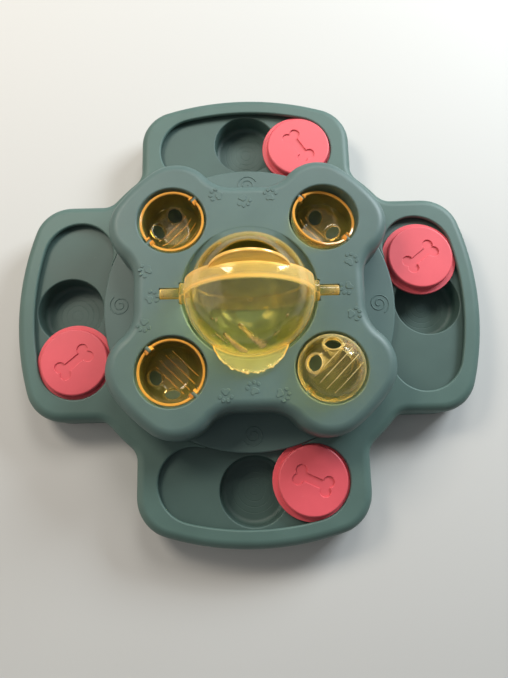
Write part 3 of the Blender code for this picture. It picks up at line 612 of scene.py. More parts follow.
def rear_shelf():
    """A shelf behind the ball, sloped just under the path of its rim band."""
    near, far = ball_pocket_radius - shelf_width, ball_pocket_radius + shelf_root
    section = [(near, shelf_foot), (near, 0.0006), (near + 0.00018, 0.00018), (near + 0.0006, 0.0),
               (near + 0.002, 0.0), (near + 0.0037, 0.0), (far, 0.0), (far, shelf_foot)]
    count, steps = len(section), 56
    first = asin((rim_set_back + 0.0006) / near)
    verts, faces = [], []
    for i in range(steps + 1):
        a = first + (pi - 2.0 * first) * i / steps
        for radius, drop in section:
            rise = ball_axis_z - shelf_drop + shelf_slope * radius * sin(a)
            cap = cover_z - (0.00002 if radius == far else 0.0002)
            verts.append(Vector((radius * cos(a), radius * sin(a), min(cap, rise) - drop)))
    for low in range(0, steps * count, count):
        for j in range(count):
            k = (j + 1) % count
            faces.append((low + j, low + k, low + count + k, low + count + j))
    faces += [tuple(range(count)), tuple(range(steps * count, (steps + 1) * count))[::-1]]
    return solid("rear_shelf", verts, faces)


cover_plastic = moulded_plastic("cover_green_moulded_polypropylene", "#59716d", "#97a6a1", 0.45, 0.00005)
outline = clover_outline()
cover = loft("top_cover_moulding", [(outline, lobe_seat_z)]
             + [(inset(outline, depth), z) for depth, z in rounding(cover_round, cover_z, 9)])
skirt = [(0.0, seat_z), (skirt_ring_radius, seat_z), (skirt_ring_radius, lip_z), (skirt_radius, lip_z)]
skirt += [(skirt_radius - depth, z) for depth, z in rounding(lip_round, skirt_z, 5)] + [(0.0, skirt_z)]
add(cover, spun("skirt", skirt, 176))
inner = inset(outline, cover_wall)
ceiling = rounding(cover_round - cover_wall, cover_z - cover_wall, 4)
hollow = loft("hollow", [(inner, lobe_seat_z + overlap)] + [(inset(inner, depth), z) for depth, z in ceiling])
throat = [p * min(1.0, throat_radius / p.length) for p in inner]
add(hollow, loft("throat", [(throat, seat_z - overrun), (throat, lobe_seat_z + 2.0 * overlap)]))
add(hollow, post("under_skirt", throat_radius, seat_z - overlap, skirt_z - skirt_wall, 176))
cup_places = around(cup_headings.values(), cup_place)
cut(hollow, post("ball_tube", ball_pocket_radius + cover_wall, boss_z, above_z, 112))
cut(hollow, posts(cup_places, pocket_radius + cover_wall, pocket_floor_z - cover_wall, above_z, 72))
cut(hollow, posts(cover_screw_places, cover_boss_radius, boss_z, cover_boss_top_z, 32))
cut(hollow, saddle_tools(pin_slot_radius + cover_wall, ball_pocket_radius, pin_slot_reach + cover_wall))
cut(hollow, saddle_tools(ear_slot_radius + cover_wall, ball_pocket_radius - cover_wall,
                         ear_slot_reach + cover_wall))
cut(cover, hollow)
cut(cover, hole_tool(ball_pocket_radius, seat_z - overrun, 112))
cut(cover, at_each(cup_places, lambda place: hole_tool(pocket_radius, pocket_floor_z, 72, place)))
cut(cover, slot_tools(pin_slot_radius, pin_slot_reach))
cut(cover, slot_tools(ear_slot_radius, ear_slot_reach))
cut(cover, posts(cover_screw_places, pilot_radius, seat_z - overrun, cover_pilot_top_z, 16))
add(cover, rear_shelf())
add(cover, joined([peg(angle, side) for angle in cup_headings.values() for side in sides]))


def tree_for(name, *inputs):
    """A Geometry Nodes tree with these number inputs and a material, and its input node."""
    tree = bpy.data.node_groups.new(name, "GeometryNodeTree")
    kinds = {"Geometry": "NodeSocketGeometry", "Material": "NodeSocketMaterial"}
    for label in ("Geometry", *inputs, "Material"):
        tree.interface.new_socket(label, in_out="INPUT", socket_type=kinds.get(label, "NodeSocketFloat"))
    tree.interface.new_socket("Geometry", in_out="OUTPUT", socket_type="NodeSocketGeometry")
    return tree, node(tree, "NodeGroupInput")


def close_tree(tree, entry, shape):
    """Ends a tree in Realize Instances and Set Material."""
    real = node(tree, "GeometryNodeRealizeInstances", {"Geometry": shape})
    dressed = node(tree, "GeometryNodeSetMaterial", {"Geometry": real, "Material": (entry, "Material")})
    node(tree, "NodeGroupOutput", {"Geometry": dressed})


def grown(name, tree, values, places):
    """Runs a tree on points given as (x, y, z, turn), as one plain mesh object."""
    mesh = bpy.data.meshes.new(name)
    mesh.from_pydata([p[:3] for p in places], [], [])
    turns = mesh.attributes.new("turn", "FLOAT", "POINT")
    for i, p in enumerate(places):
        turns.data[i].value = p[3]
    obj = placed(name, mesh)
    modifier = obj.modifiers.new("grow", "NODES")
    modifier.node_group = tree
    for item in tree.interface.items_tree:
        if item.name in values:
            modifier[item.identifier] = values[item.name]
    return settle(obj)


def vector(tree, x=0.0, y=0.0, z=0.0):
    return node(tree, "ShaderNodeCombineXYZ", {"X": x, "Y": y, "Z": z})


def reshaped(tree, shape, **values):
    return node(tree, "GeometryNodeTransform", {"Geometry": shape, **values})


def merged(tree, shapes):
    return node(tree, "GeometryNodeMeshBoolean", {"operation": "UNION", "solver": "EXACT", "Mesh 2": shapes})


def beaded(tree, line, radius, resolution):
    """A round bead along a line."""
    across = node(tree, "GeometryNodeCurvePrimitiveCircle", {"Resolution": resolution, "Radius": radius})
    return node(tree, "GeometryNodeCurveToMesh", {"Fill Caps": True, "Curve": line, "Profile Curve": across})


def on_points(tree, entry, shape):
    """Sets one shape on each of the object's points, turned about Z by the points' own turn."""
    turn = node(tree, "GeometryNodeInputNamedAttribute", {"data_type": "FLOAT", "Name": "turn"})
    return node(tree, "GeometryNodeInstanceOnPoints", {"Points": (entry, "Geometry"), "Instance": shape,
                                                       "Rotation": vector(tree, z=(turn, "Attribute"))})


def drop(tree, entry, x, y, length, width):
    """A flattened round drop of the paw print, its height from the tree's own input."""
    ball = node(tree, "GeometryNodeMeshUVSphere", {"Segments": 24, "Rings": 14, "Radius": 1.0})
    size = vector(tree, length / 2.0, width / 2.0, (entry, "Height"))
    return reshaped(tree, ball, Translation=(x, y, 0.0), Scale=size)


paw_tree, entry = tree_for("paw_print", "Height", "Flat Top")
heel = merged(paw_tree, [drop(paw_tree, entry, *pad) for pad in (
    (-0.0015, 0.0, 0.0040, 0.0036), (-0.0024, 0.0014, 0.0027, 0.0026), (-0.0024, -0.0014, 0.0027, 0.0026))])
toes = [drop(paw_tree, entry, x, y, 0.0026, 0.0021)
        for x, y in ((0.0012, -0.0034), (0.0031, -0.0014), (0.0031, 0.0014), (0.0012, 0.0034))]
whole_print = node(paw_tree, "GeometryNodeJoinGeometry", {"Geometry": [heel] + toes})
split = node(paw_tree, "ShaderNodeSeparateXYZ", {"Vector": node(paw_tree, "GeometryNodeInputPosition")})
capped = maths(paw_tree, "MINIMUM", (split, "Z"), (entry, "Flat Top"))
levelled = vector(paw_tree, (split, "X"), (split, "Y"), capped)
flattened = node(paw_tree, "GeometryNodeSetPosition", {"Geometry": whole_print, "Position": levelled})
close_tree(paw_tree, entry, on_points(paw_tree, entry, flattened))
paw_spots = [(-19.0, 62.0, 164.0), (-2.0, 58.0, -70.0), (14.3, 61.5, 88.0), (-61.5, 14.5, 195.0),
             (-57.5, -2.0, 35.0), (-62.0, -18.5, -100.0), (61.0, 18.5, 56.0), (57.5, 1.0, 219.0),
             (61.0, -15.0, 0.0), (-15.0, -60.5, -90.0), (1.0, -57.0, 110.0), (17.5, -61.0, -18.0)]
paw_places = [(x / 1000.0, y / 1000.0, cover_z - paw_sink, radians(turn)) for x, y, turn in paw_spots]
paws = grown("paws", paw_tree, {"Height": 0.0008, "Flat Top": 0.00045, "Material": cover_plastic}, paw_places)

spiral_tree, entry = tree_for("raised_spiral", "Reach", "Thickness")
coil = node(spiral_tree, "GeometryNodeCurveSpiral", {"Resolution": 40, "Rotations": 2.0, "Height": 0.0,
                                                     "Start Radius": 0.0011, "End Radius": (entry, "Reach")})
bead = beaded(spiral_tree, coil, (entry, "Thickness"), 10)
close_tree(spiral_tree, entry, on_points(spiral_tree, entry, bead))
spiral_spots = [(0.0, 0.0827, 0.4), (-0.0830, 0.0015, 2.2), (0.0, -0.0827, 3.6), (0.0830, -0.0016, 5.2)]
spirals = grown("spirals", spiral_tree, {"Reach": 0.0068, "Thickness": 0.00042, "Material": cover_plastic},
                [(x, y, skirt_z - spiral_sink, turn) for x, y, turn in spiral_spots])
joined([cover, paws, spirals])
finished(cover, "top_cover_moulding", cover_plastic, "base", ["top_cover"])

# ---------------------------------------------------------------------------------------------------------
# Sliding discs: four caps moulded in coral pink polypropylene, each a wide flange under a raised button with
# a sunk bone. They are hollow underneath and snap in between the shell's lip and the skirt.
disc_top_z = 0.0267
disc_wall = 0.0019
flange_radius = 0.0244
flange_top_z = 0.0221
flange_chamfer = 0.0003
neck_step = 0.0004
disc_round = 0.0012
bone_depth = 0.0009
bone_half_length = 0.0122
bone_edge = 0.00045
knob_radius = 0.0034
knob_spread = 0.0029
half_shaft = 0.0026
slider_rest = {"front": 287.76, "right": 14.6, "rear": 71.94, "left": 197.44}
bone_turn = {"front": -25.0, "right": 38.0, "rear": -57.0, "left": 40.0}


def bone_outline(grow):
    knob = (bone_half_length - knob_radius, knob_spread)
    radius = knob_radius + grow
    side = pi - asin((half_shaft + grow - knob_spread) / radius)
    quarter = arc(knob, radius, -asin(knob_spread / radius), side, 14)
    right = [Vector((p.x, -p.y)) for p in reversed(quarter[1:])] + quarter
    return right + [Vector((-p.x, -p.y)) for p in right]


coral = moulded_plastic("coral_moulded_polypropylene", "#e75d67", "#f0a0a4", 0.42, 0.00005)
disc_profile = [(0.0, seat_z), (flange_radius - flange_chamfer, seat_z),
                (flange_radius, seat_z + flange_chamfer)]
disc_profile += [(flange_radius - depth, z) for depth, z in rounding(neck_step, flange_top_z, 3)]
disc_profile += [(disc_radius + neck_step, flange_top_z), (disc_radius, flange_top_z + neck_step)]
disc_profile += [(disc_radius - depth, z) for depth, z in rounding(disc_round, disc_top_z, 6)]
disc_profile += [(0.0, disc_top_z)]
bone_levels = [(-0.0001, disc_top_z - bone_depth), (0.0, disc_top_z - bone_depth + 0.0001),
               (0.0, disc_top_z - bone_edge), (0.00014, disc_top_z - 0.00014), (bone_edge, disc_top_z),
               (bone_edge, disc_top_z + overrun)]
for key, angle in slider_rest.items():
    disc = spun(f"sliding_disc_{key}", disc_profile, 128)
    cut(disc, post("disc_hollow", disc_radius - disc_wall, seat_z - overrun, disc_top_z - disc_wall, 96))
    turn = radians(bone_turn[key] - angle)
    cut(disc, loft("bone", [(turned(bone_outline(grow), turn), z) for grow, z in bone_levels]))
    moved(disc, spin(radians(angle), "Z"), shift(slide_radius, 0.0, 0.0))
    finished(disc, f"sliding_disc_{key}", coral, f"slider_{key}", [f"slider_{key}"])

# ---------------------------------------------------------------------------------------------------------
# Flip cups: four bowls injection moulded in clear amber polystyrene. Two clips snap onto the pegs, so that a
# cup turns over; two round holes let kibble fall out, and low ribs give a paw some hold.
cup_radius = 0.0198
cup_wall = 0.0016
cup_flat_radius = 0.0088
cup_rim_z = 0.0012
cup_rim_round = 0.0004
clip_radius = 0.0031
clip_bore = 0.0018
clip_mouth = 0.0022
treat_hole_radius = 0.0047
treat_hole_along = 0.0078
treat_hole_out = 0.009
hole_lip = 0.0011
clip_inset = 0.0014
rib_sink = 0.00003
rib_thickness = 0.00034
flat_depth = sqrt(cup_radius ** 2 - cup_flat_radius ** 2)
hole_drop = -sqrt(cup_radius ** 2 - treat_hole_along ** 2 - treat_hole_out ** 2)
hole_axes = [Vector((side * treat_hole_along, treat_hole_out, hole_drop)) for side in sides]
cup_rest_tilt = {"rear_right": -17.0, "rear_left": -3.0, "front_left": 2.0, "front_right": 180.0}


def painted(obj, label, value_at):
    """Keeps a share from 0 to 1 on each point, for the material to read."""
    values = obj.data.attributes.new(label, "FLOAT", "POINT")
    for i, vertex in enumerate(obj.data.vertices):
        values.data[i].value = value_at(vertex.co)


def shown_share(tree, label):
    """Reads the share that painted() left on the points."""
    return node(tree, "ShaderNodeAttribute", {"attribute_name": label}), "Fac"


def clear_plastic(name, tint, painted_glow_colour, haze, slanted, roughness, ripple):
    """Clear tinted polystyrene, with a painted orange glow on its edges for the light they gather, and a
    little haze from wear.
    """
    material, tree, shader, place = new_material(name, {"IOR": 1.52})
    frost = shown_share(tree, "frost")
    tooth_wear_and_glint = shown_share(tree, "bitten")
    # Rubbed and licked patches: 9 mm clouds that dull the gloss and pale the tint a little
    cloud = noise(tree, place, 110.0, 5.0, 0.6)
    worn = remapped(tree, cloud, roughness, roughness + 0.13, 0.35, 0.75)
    colour = ramp(tree, cloud, (0.3, linear(tint, 0.9)), (0.7, linear(tint)))
    # Painted glow: the share painted on rims, lips and ribs turns the clear plastic bright orange and less
    # clear there, and so does a view edge on, where the light runs a long way through it
    slant = node(tree, "ShaderNodeLayerWeight", {"Blend": 0.5})
    through = remapped(tree, (slant, "Facing"), 0.0, slanted, 0.55, 0.86)
    share = maths(tree, "MAXIMUM", shown_share(tree, "edge"), through)
    # Painted glints: where teeth have been, the painted glow turns pale cream
    painted_glint = remapped(tree, tooth_wear_and_glint, 0.0, 1.0, 0.0, 0.4)
    painted_glow = ramp(tree, painted_glint, (0.0, linear(painted_glow_colour)), (1.0, linear("#ffe5a0")))
    lit = node(tree, "ShaderNodeMix", {"data_type": "RGBA", "Factor": share, "A": colour, "B": painted_glow})
    clear = remapped(tree, share, 1.0 - haze, 0.3)
    # Sink and tooth scuffs: waves a few millimetres long, drawn shallow, and deeper where teeth have been
    deeper = maths(tree, "MULTIPLY_ADD", tooth_wear_and_glint, 7.0, 1.0)
    height = maths(tree, "MULTIPLY", noise(tree, place, 260.0, 3.0), deeper)
    feed(tree, shader, {"Base Color": (lit, "Result"), "Normal": bumped(tree, height, 0.4, ripple),
                        "Roughness": maths(tree, "MULTIPLY_ADD", frost, 0.1, worn),
                        "Transmission Weight": maths(tree, "MULTIPLY_ADD", frost, -0.015, clear)})
    # Lamps reach what is behind the plastic, tinted by it
    lamp_ray = (node(tree, "ShaderNodeLightPath"), "Is Shadow Ray")
    passed = node(tree, "ShaderNodeBsdfTransparent", {"Color": (0.93, 0.9, 0.76, 1.0)})
    shown = node(tree, "ShaderNodeMixShader", {0: lamp_ray, 1: shader, 2: passed})
    feed(tree, tree.nodes["Material Output"], {"Surface": shown})
    return material


def bowl(radius, flat_radius, top, steps):
    """(radius, z) points of a bowl with a flat bottom, about its pivot."""
    start, end = asin(flat_radius / radius), acos(-top / radius)
    turn = [start + (end - start) * i / steps for i in range(steps + 1)]
    points = [(radius * sin(a), -radius * cos(a)) for a in turn]
    return [(0.0, points[0][1]), (flat_radius - 0.0006, points[0][1])] + points


def along_x(obj, side=1.0):
    """Lays a solid made about Z along X."""
    return moved(obj, spin(side * pi / 2.0, "Y"))


amber_cup = clear_plastic("cup_amber_clear_polystyrene", "#f4d486", "#ffb650", 0.01, 0.1, 0.05, 0.00012)
amber_scuffed = clear_plastic("cup_amber_scuffed_clear_polystyrene", "#f4da88", "#ffc865", 0.015, 0.75, 0.05,
                              0.0002)
inner_cup = cup_radius - cup_wall
clip_start = inner_cup - clip_inset
outside = bowl(cup_radius, cup_flat_radius, cup_rim_z - cup_rim_round, 22)
cup_master = spun("cup_master", outside + [(cup_radius - 0.0002, cup_rim_z), (0.0, cup_rim_z)], 120)
for side in sides:
    add(cup_master, along_x(post("clip", clip_radius, clip_start, cup_radius - 0.0004, 40), side))
inside = bowl(inner_cup, inner_cup * cup_flat_radius / cup_radius, cup_rim_z - cup_rim_round, 22)
mouth_radius = inside[-1][0] + cup_rim_round
inside += [(mouth_radius, cup_rim_z), (mouth_radius, cup_rim_z + overrun), (0.0, cup_rim_z + overrun)]
cavity = spun("cup_cavity", inside, 120)
for side in sides:
    cut(cavity, along_x(post("clip_keep", clip_radius, clip_start, cup_radius, 40), side))
cut(cup_master, cavity)
reach = cup_radius + overrun
cut(cup_master, along_x(post("clip_bore", clip_bore, -reach, reach, 28)))
gap = strip(-reach, reach, clip_mouth / 2.0)
cut(cup_master, loft("clip_mouth", [(gap, 0.0), (gap, reach)]))
for lean in hole_axes:
    turn = lean.to_track_quat("Z", "X").to_matrix().to_4x4()
    lip = post("hole_lip", treat_hole_radius + hole_lip, cup_radius - 0.0024, cup_radius - 0.0003, 56)
    add(cup_master, moved(lip, turn))
    cut(cup_master, moved(post("treat_hole", treat_hole_radius, cup_radius - 0.006, reach, 48), turn))

rib_tree, entry = tree_for("cup_rib", "Radius", "Flat", "Half Length", "Thickness")
far_end = vector(rib_tree, (entry, "Half Length"))
near_end = node(rib_tree, "ShaderNodeVectorMath", {"operation": "SCALE", "Scale": -1.0, 0: far_end})
line = node(rib_tree, "GeometryNodeCurvePrimitiveLine", {"Start": near_end, "End": far_end})
line = node(rib_tree, "GeometryNodeResampleCurve", {"Count": 44, "Curve": line})
# The line is laid on the points' own offsets and let down onto the bowl: the ball's depth there, or its flat
lines = node(rib_tree, "GeometryNodeInstanceOnPoints", {"Points": (entry, "Geometry"), "Instance": line})
laid = node(rib_tree, "GeometryNodeRealizeInstances", {"Geometry": lines})
spot = node(rib_tree, "GeometryNodeInputPosition")
span = node(rib_tree, "ShaderNodeVectorMath", {"operation": "DOT_PRODUCT", 0: spot, 1: spot})
ball_square = maths(rib_tree, "MULTIPLY", (entry, "Radius"), (entry, "Radius"))
depth = maths(rib_tree, "SQRT", maths(rib_tree, "SUBTRACT", ball_square, (span, "Value")))
down = maths(rib_tree, "MULTIPLY", maths(rib_tree, "MINIMUM", depth, (entry, "Flat")), -1.0)
lowered = node(rib_tree, "GeometryNodeSetPosition", {"Geometry": laid, "Offset": vector(rib_tree, z=down)})
close_tree(rib_tree, entry, beaded(rib_tree, lowered, (entry, "Thickness"), 8))
for offset, half_length in ((-0.0105, 0.0115), (-0.0056, 0.013), (-0.0007, 0.0132), (0.0036, 0.0124)):
    sizes = {"Radius": cup_radius - rib_sink, "Flat": flat_depth - rib_sink, "Half Length": half_length,
             "Thickness": rib_thickness, "Material": amber_cup}
    add(cup_master, grown("cup_rib", rib_tree, sizes, [(0.0, offset, 0.0, 0.0)]))


def cup_painted_glow(p, lips):
    """How much painted glow a point of the cup gets: its rim fully, the treat holes' lips and the ribs in
    part.
    """
    if p.z > cup_rim_z - 0.0007:
        return 1.0
    for axis in [lean.normalized() for lean in hole_axes]:
        if p.z < 0.0 and (p - axis * p.dot(axis)).length < treat_hole_radius + 0.0012:
            return lips
    return 0.6 if p.length > cup_radius + 0.00006 or p.z < -flat_depth - 0.00006 else 0.0


def cup_frost(p):
    """The flat bottom is left matt by its mould."""
    low = p.z < -flat_depth + cup_wall + 0.0004
    return 1.0 if low and hypot(p.x, p.y) < cup_flat_radius - 0.0004 else 0.0


def bite(place, radii, turn, rings=10, segments=18):
    """A stretched ball to cut with."""
    profile = [(sin(pi * k / rings), -cos(pi * k / rings)) for k in range(rings + 1)]
    return moved(spun("bite", profile, segments), Matrix.Translation(place), spin(turn, "Z"),
                 Matrix.Diagonal((*radii, 1.0)))


# Chewed rim of the front right cup, on the side away from the treat holes
cup_bites = [((-0.0148, 0.0132, 0.0011), (0.0021, 0.0013, 0.0016), 0.3),
             ((-0.0126, 0.0158, 0.0014), (0.0014, 0.0010, 0.0012), 1.1),
             ((-0.0166, 0.0108, 0.0016), (0.0012, 0.0009, 0.0010), 0.8)]
for key, angle in cup_angles.items():
    chewed = key == "front_right"
    cup = placed(f"flip_cup_{key}", cup_master.data.copy())
    for place, radii, turn in cup_bites if chewed else []:
        cut(cup, bite(place, radii, turn))
    # Painted glow on the rim, the treat holes' lips and the ribs; the chewed cup's lips get more
    painted(cup, "edge", lambda p: cup_painted_glow(p, 0.3 if chewed else 0.05))
    painted(cup, "frost", cup_frost)
    if chewed:
        # Teeth roughen the chewed cup, and the same share pales its painted glow into painted glints
        painted(cup, "bitten", lambda p: max(0.4, min(1.0, (-p.x - 0.004) / 0.006)))
    moved(cup, shift(*around([cup_headings[key]], cup_place)[0], cup_axis_z),
          spin(radians(angle - 90.0), "Z"), spin(radians(cup_rest_tilt[key]), "X"))
    finished(cup, f"flip_cup_{key}", amber_scuffed if chewed else amber_cup, f"cup_{key}",
             [f"cup_{key}"], 30.0)
discard(cup_master)

# ---------------------------------------------------------------------------------------------------------
# Rocking ball, outer half: clear amber polystyrene, with a thick rim band, two push tabs and the two pins
# that lie in the cover's slots. The tab and the shell below it carry tooth marks.
ball_radius = 0.039
ball_wall = 0.0018
band_start = 0.002
band_radius = 0.0358
inner_radius = 0.0355
inner_wall = 0.0018
ear_radius = 0.0062
ear_reach = 0.0412
pin_radius = 0.0032
pin_reach = 0.053
pin_edge = 0.0005
tab_radius = 0.0229
tab_reach = 0.0493
tab_thickness = 0.002
tab_angles = {"rear": 10.0, "front": -86.0}
gate_angle = -21.5
hollow_radius = inner_radius - inner_wall
cavity_radius = ball_radius - ball_wall
tab_middle = tab_reach - tab_radius
tab_half = tab_thickness / 2.0


def ball_arc(radius, start_y, end_y, steps):
    """(radius, y) points of the ball's outline between two places on its axis."""
    start, end = [asin(max(-1.0, min(1.0, y / radius))) for y in (start_y, end_y)]
    turn = [start + (end - start) * i / steps for i in range(steps + 1)]
    return [(radius * cos(a), radius * sin(a)) for a in turn]


def laid_back(obj):
    """Turns a solid made about Z so that its top looks back along +Y."""
    return moved(obj, spin(-pi / 2.0, "X"))


def tab_outline(chewed):
    """The tab's round plate; teeth have worn the front one's edge into waves."""
    points = []
    for p in arc(middle, tab_radius, 0.0, 2.0 * pi, 160)[:-1]:
        a = atan2(p.y, p.x)
        wave = max(0.0, sin(a)) ** 2 * (0.00035 * sin(17.0 * a + 0.6) + 0.0003 * sin(29.0 * a)
                                        + 0.0002 * sin(47.0 * a + 1.7) + 0.0003)
        points.append(p * (1.0 - (wave if chewed else 0.0) / tab_radius))
    return points


def tab_axes(angle):
    """The ways a tab points and faces."""
    out = Vector((0.0, sin(radians(angle)), cos(radians(angle))))
    return out, Vector((0.0, out.z, -out.y))


amber_ball = clear_plastic("ball_amber_clear_polystyrene", "#eeedb0", "#ffcd6c", 0.025, 0.88, 0.04, 0.00012)
amber_inner = clear_plastic("inner_half_amber_clear_polystyrene", "#f4e08c", "#f0bc50", 0.02, 0.72, 0.04,
                            0.00012)
edge = ball_arc(ball_radius, -ball_radius, rim_set_back - 0.0004, 40)
outside = [(0.0, -ball_radius)] + edge[1:] + [(edge[-1][0] - 0.0005, rim_set_back), (0.0, rim_set_back)]
front = laid_back(spun("ball_front", outside, 144))
tab_levels = [(0.0012, -tab_half), (0.0005, -tab_half), (0.00015, -tab_half + 0.00015),
              (0.0, -tab_half + 0.0005)]
tab_levels += [(depth, -z) for depth, z in reversed(tab_levels)]
for key, angle in tab_angles.items():
    plate = tab_outline(key == "front")
    tab = loft(f"tab_{key}", [(inset(plate, depth), z) for depth, z in tab_levels])
    add(front, moved(tab, spin(radians(90.0 - angle), "X"), shift(0.0, tab_middle, 0.0)))
ear_profile = [(0.0, hollow_radius), (ear_radius, hollow_radius), (ear_radius, ear_reach - pin_edge),
               (ear_radius - pin_edge, ear_reach), (pin_radius + 0.0003, ear_reach),
               (pin_radius, ear_reach + 0.0003), (pin_radius, pin_reach - pin_edge),
               (pin_radius - pin_edge, pin_reach), (0.0, pin_reach)]
for side in sides:
    add(front, along_x(spun("ear", ear_profile, 56), side))
inside = [(0.0, -cavity_radius)] + ball_arc(cavity_radius, -cavity_radius, -band_start, 32)[1:]
inside += ball_arc(band_radius, -band_start, band_radius, 28)[:-1] + [(0.0, band_radius)]
cut(front, laid_back(spun("ball_front_inside", inside, 144)))
gate_low, gate_high = ball_radius - 0.0008, ball_radius + 0.0006
gate = spun("gate", [(0.0, gate_low), (0.0013, gate_low), (0.0015, gate_high), (0.0, gate_high)], 24)
cut(gate, spun("gate_nub", [(0.0, ball_radius - 0.001), (0.0006, ball_radius - 0.001),
                            (0.0005, ball_radius - 0.0002), (0.0, ball_radius - 0.0001)], 16))
cut(front, moved(gate, spin(radians(-gate_angle), "X")))

gouge_tree, entry = tree_for("tooth_gouge", "Length", "Width", "Depth")
tooth = node(gouge_tree, "GeometryNodeMeshCone", {"Vertices": 14, "Side Segments": 6, "Radius Top": 0.06,
                                                  "Radius Bottom": 1.0, "Depth": 1.0})
size = vector(gouge_tree, (entry, "Width"), (entry, "Depth"), (entry, "Length"))
laid = reshaped(gouge_tree, reshaped(gouge_tree, tooth, Scale=size), Rotation=(radians(90.0), 0.0, 0.0))
close_tree(gouge_tree, entry, on_points(gouge_tree, entry, laid))
# Each gouge runs between two places on the ball, its thin end first: (x, y, x, y, width) in millimetres
gouges = [(-14.0, -29.5, -4.2, -37.2, 4.4), (-5.6, -26.2, 6.8, -35.4, 4.0), (-19.5, -28.0, -13.5, -33.0, 0.8),
          (12.0, -31.0, 15.5, -28.5, 0.7), (-22.0, -21.0, -18.0, -22.5, 0.5), (19.5, -22.0, 21.0, -19.0, 0.6)]
# Spots along each gouge that get painted glow, wider towards its wide end
gouge_painted_glow = []
for x, y, wide_x, wide_y, width in gouges:
    thin, wide = [Vector((a / 1000.0, b / 1000.0, sqrt(ball_radius ** 2 - (a * a + b * b) / 1e6)))
                  for a, b in ((x, y), (wide_x, wide_y))]
    thin *= 1.0 + 0.00025 / ball_radius
    half = width / 2000.0
    mark = grown("gouge", gouge_tree, {"Length": (wide - thin).length, "Width": half,
                                       "Depth": min(half, 0.0009), "Material": amber_ball}, [(0.0,) * 4])
    halfway = (thin + wide) / 2.0
    along = (thin - wide).normalized()
    out = (halfway - along * halfway.dot(along)).normalized()
    lay = Matrix((along.cross(out), -along, out)).transposed().to_4x4()
    gouge_painted_glow += [(thin.lerp(wide, i / 12.0), half * (0.3 + 0.8 * i / 12.0)) for i in range(1, 13)]
    cut(front, moved(mark, Matrix.Translation(halfway), lay))


def chip(i):
    """A small bite out of the front tab's edge."""
    out, up = tab_axes(tab_angles["front"])
    turn = radians(-56.0 + 8.0 * i + 3.0 * sin(5.0 * i))
    size = 0.0007 + 0.0006 * abs(sin(2.3 * i + 0.4))
    reach = tab_radius - 0.0004 - 0.0024 * (0.5 + 0.5 * sin(3.7 * i))
    place = out * (tab_middle + reach * cos(turn)) + Vector((reach * sin(turn), 0.0, 0.0))
    return bite(place + up * 0.001, (size * 1.3, size, 0.0006), 1.7 * i, 6, 9)


def in_gouge(p):
    return p.y < -0.02 and p.z > 0.0 and any((p - foot).length < reach for foot, reach in gouge_painted_glow)


def ball_painted_glow(p):
    """How much painted glow a point of the outer half gets: the rim band, its face and step most, and the
    tabs' edges.
    """
    if abs(p.x) > ear_reach - 0.0006:
        return 1.0 if p.y < -0.8 * pin_radius else 0.5 if abs(p.x) > pin_reach - 0.0006 else 0.0
    if p.length < ball_radius + 0.0002:
        # Painted shade: the glow fades out over 12 mm below the axis, where the band lies down in the
        # pocket's shade
        lit = max(0.0, min(1.0, p.z / 0.012 + 1.0))
        if abs(p.y - rim_set_back) < 0.0009 or abs(p.y + band_start) < 0.0002:
            return 0.8 * lit
        if p.y > -band_start:
            return 0.4 * lit
        if in_gouge(p):
            return 1.0
    for angle in tab_angles.values():
        out, up = tab_axes(angle)
        away = p - out * tab_middle
        radial = hypot(away.x, away.dot(out))
        if abs(away.dot(up)) < tab_thickness and radial < tab_radius + 0.001:
            return 1.0 if radial > tab_radius - 0.001 else 0.5 if out.y > 0.0 else 0.2
    return 0.0


def tooth_marks(p):
    """The front tab, the shell beside it and the gouges are roughened by teeth; the same share pales their
    painted glow into painted glints.
    """
    return 0.4 if in_gouge(p) else max(0.0, min(1.0, (-p.y - 0.0375) / 0.004))


cut(front, at_each(range(15), chip))
# Painted glow on the band, pins, tabs and gouges
painted(front, "edge", ball_painted_glow)
painted(front, "bitten", tooth_marks)
painted(front, "frost", lambda p: 0.7 * tooth_marks(p))
moved(front, shift(0.0, 0.0, ball_axis_z))
finished(front, "rocking_ball_outer_half", amber_ball, "ball", ["ball_front_shell"], 30.0)

# ---------------------------------------------------------------------------------------------------------
# Rocking ball, inner half: the same clear amber plastic, let into the rim band and welded there, with the
# round-topped opening that kibble goes in and out through.
treat_radius = 0.021
treat_centre = 0.0015
treat_edge = 0.0085
start_y = -band_start + play
back = [(0.0, start_y)] + ball_arc(inner_radius, start_y, inner_radius, 36)[:-1] + [(0.0, inner_radius)]
back_half = laid_back(spun("ball_back", back, 144))
inside = [(0.0, start_y - overrun), (hollow_radius, start_y - overrun)]
inside += ball_arc(hollow_radius, 0.0, hollow_radius, 32)[:-1] + [(0.0, hollow_radius)]
cut(back_half, laid_back(spun("ball_back_inside", inside, 144)))
lean = asin((treat_edge - treat_centre) / treat_radius)
opening = arc((0.0, treat_centre), treat_radius, lean, pi - lean, 40)
cut(back_half, loft("treat_opening", [(opening, 0.0), (opening, ball_radius)]))
# Painted glow on the upper half of the rim's face; the lower half, in the pocket's shade, gets none
painted(back_half, "edge", lambda p: 0.4 if abs(p.y - start_y) < 0.0002 and p.z > 0.0 else 0.0)
moved(back_half, shift(0.0, 0.0, ball_axis_z))
finished(back_half, "rocking_ball_inner_half", amber_inner, "ball", ["ball_back_shell"],
         30.0)

# ---------------------------------------------------------------------------------------------------------
# Feet: four discs of black thermoplastic rubber with a stepped grip ring, glued into rings under the wells.
foot_radius = 0.011
foot_top_z = 0.0037


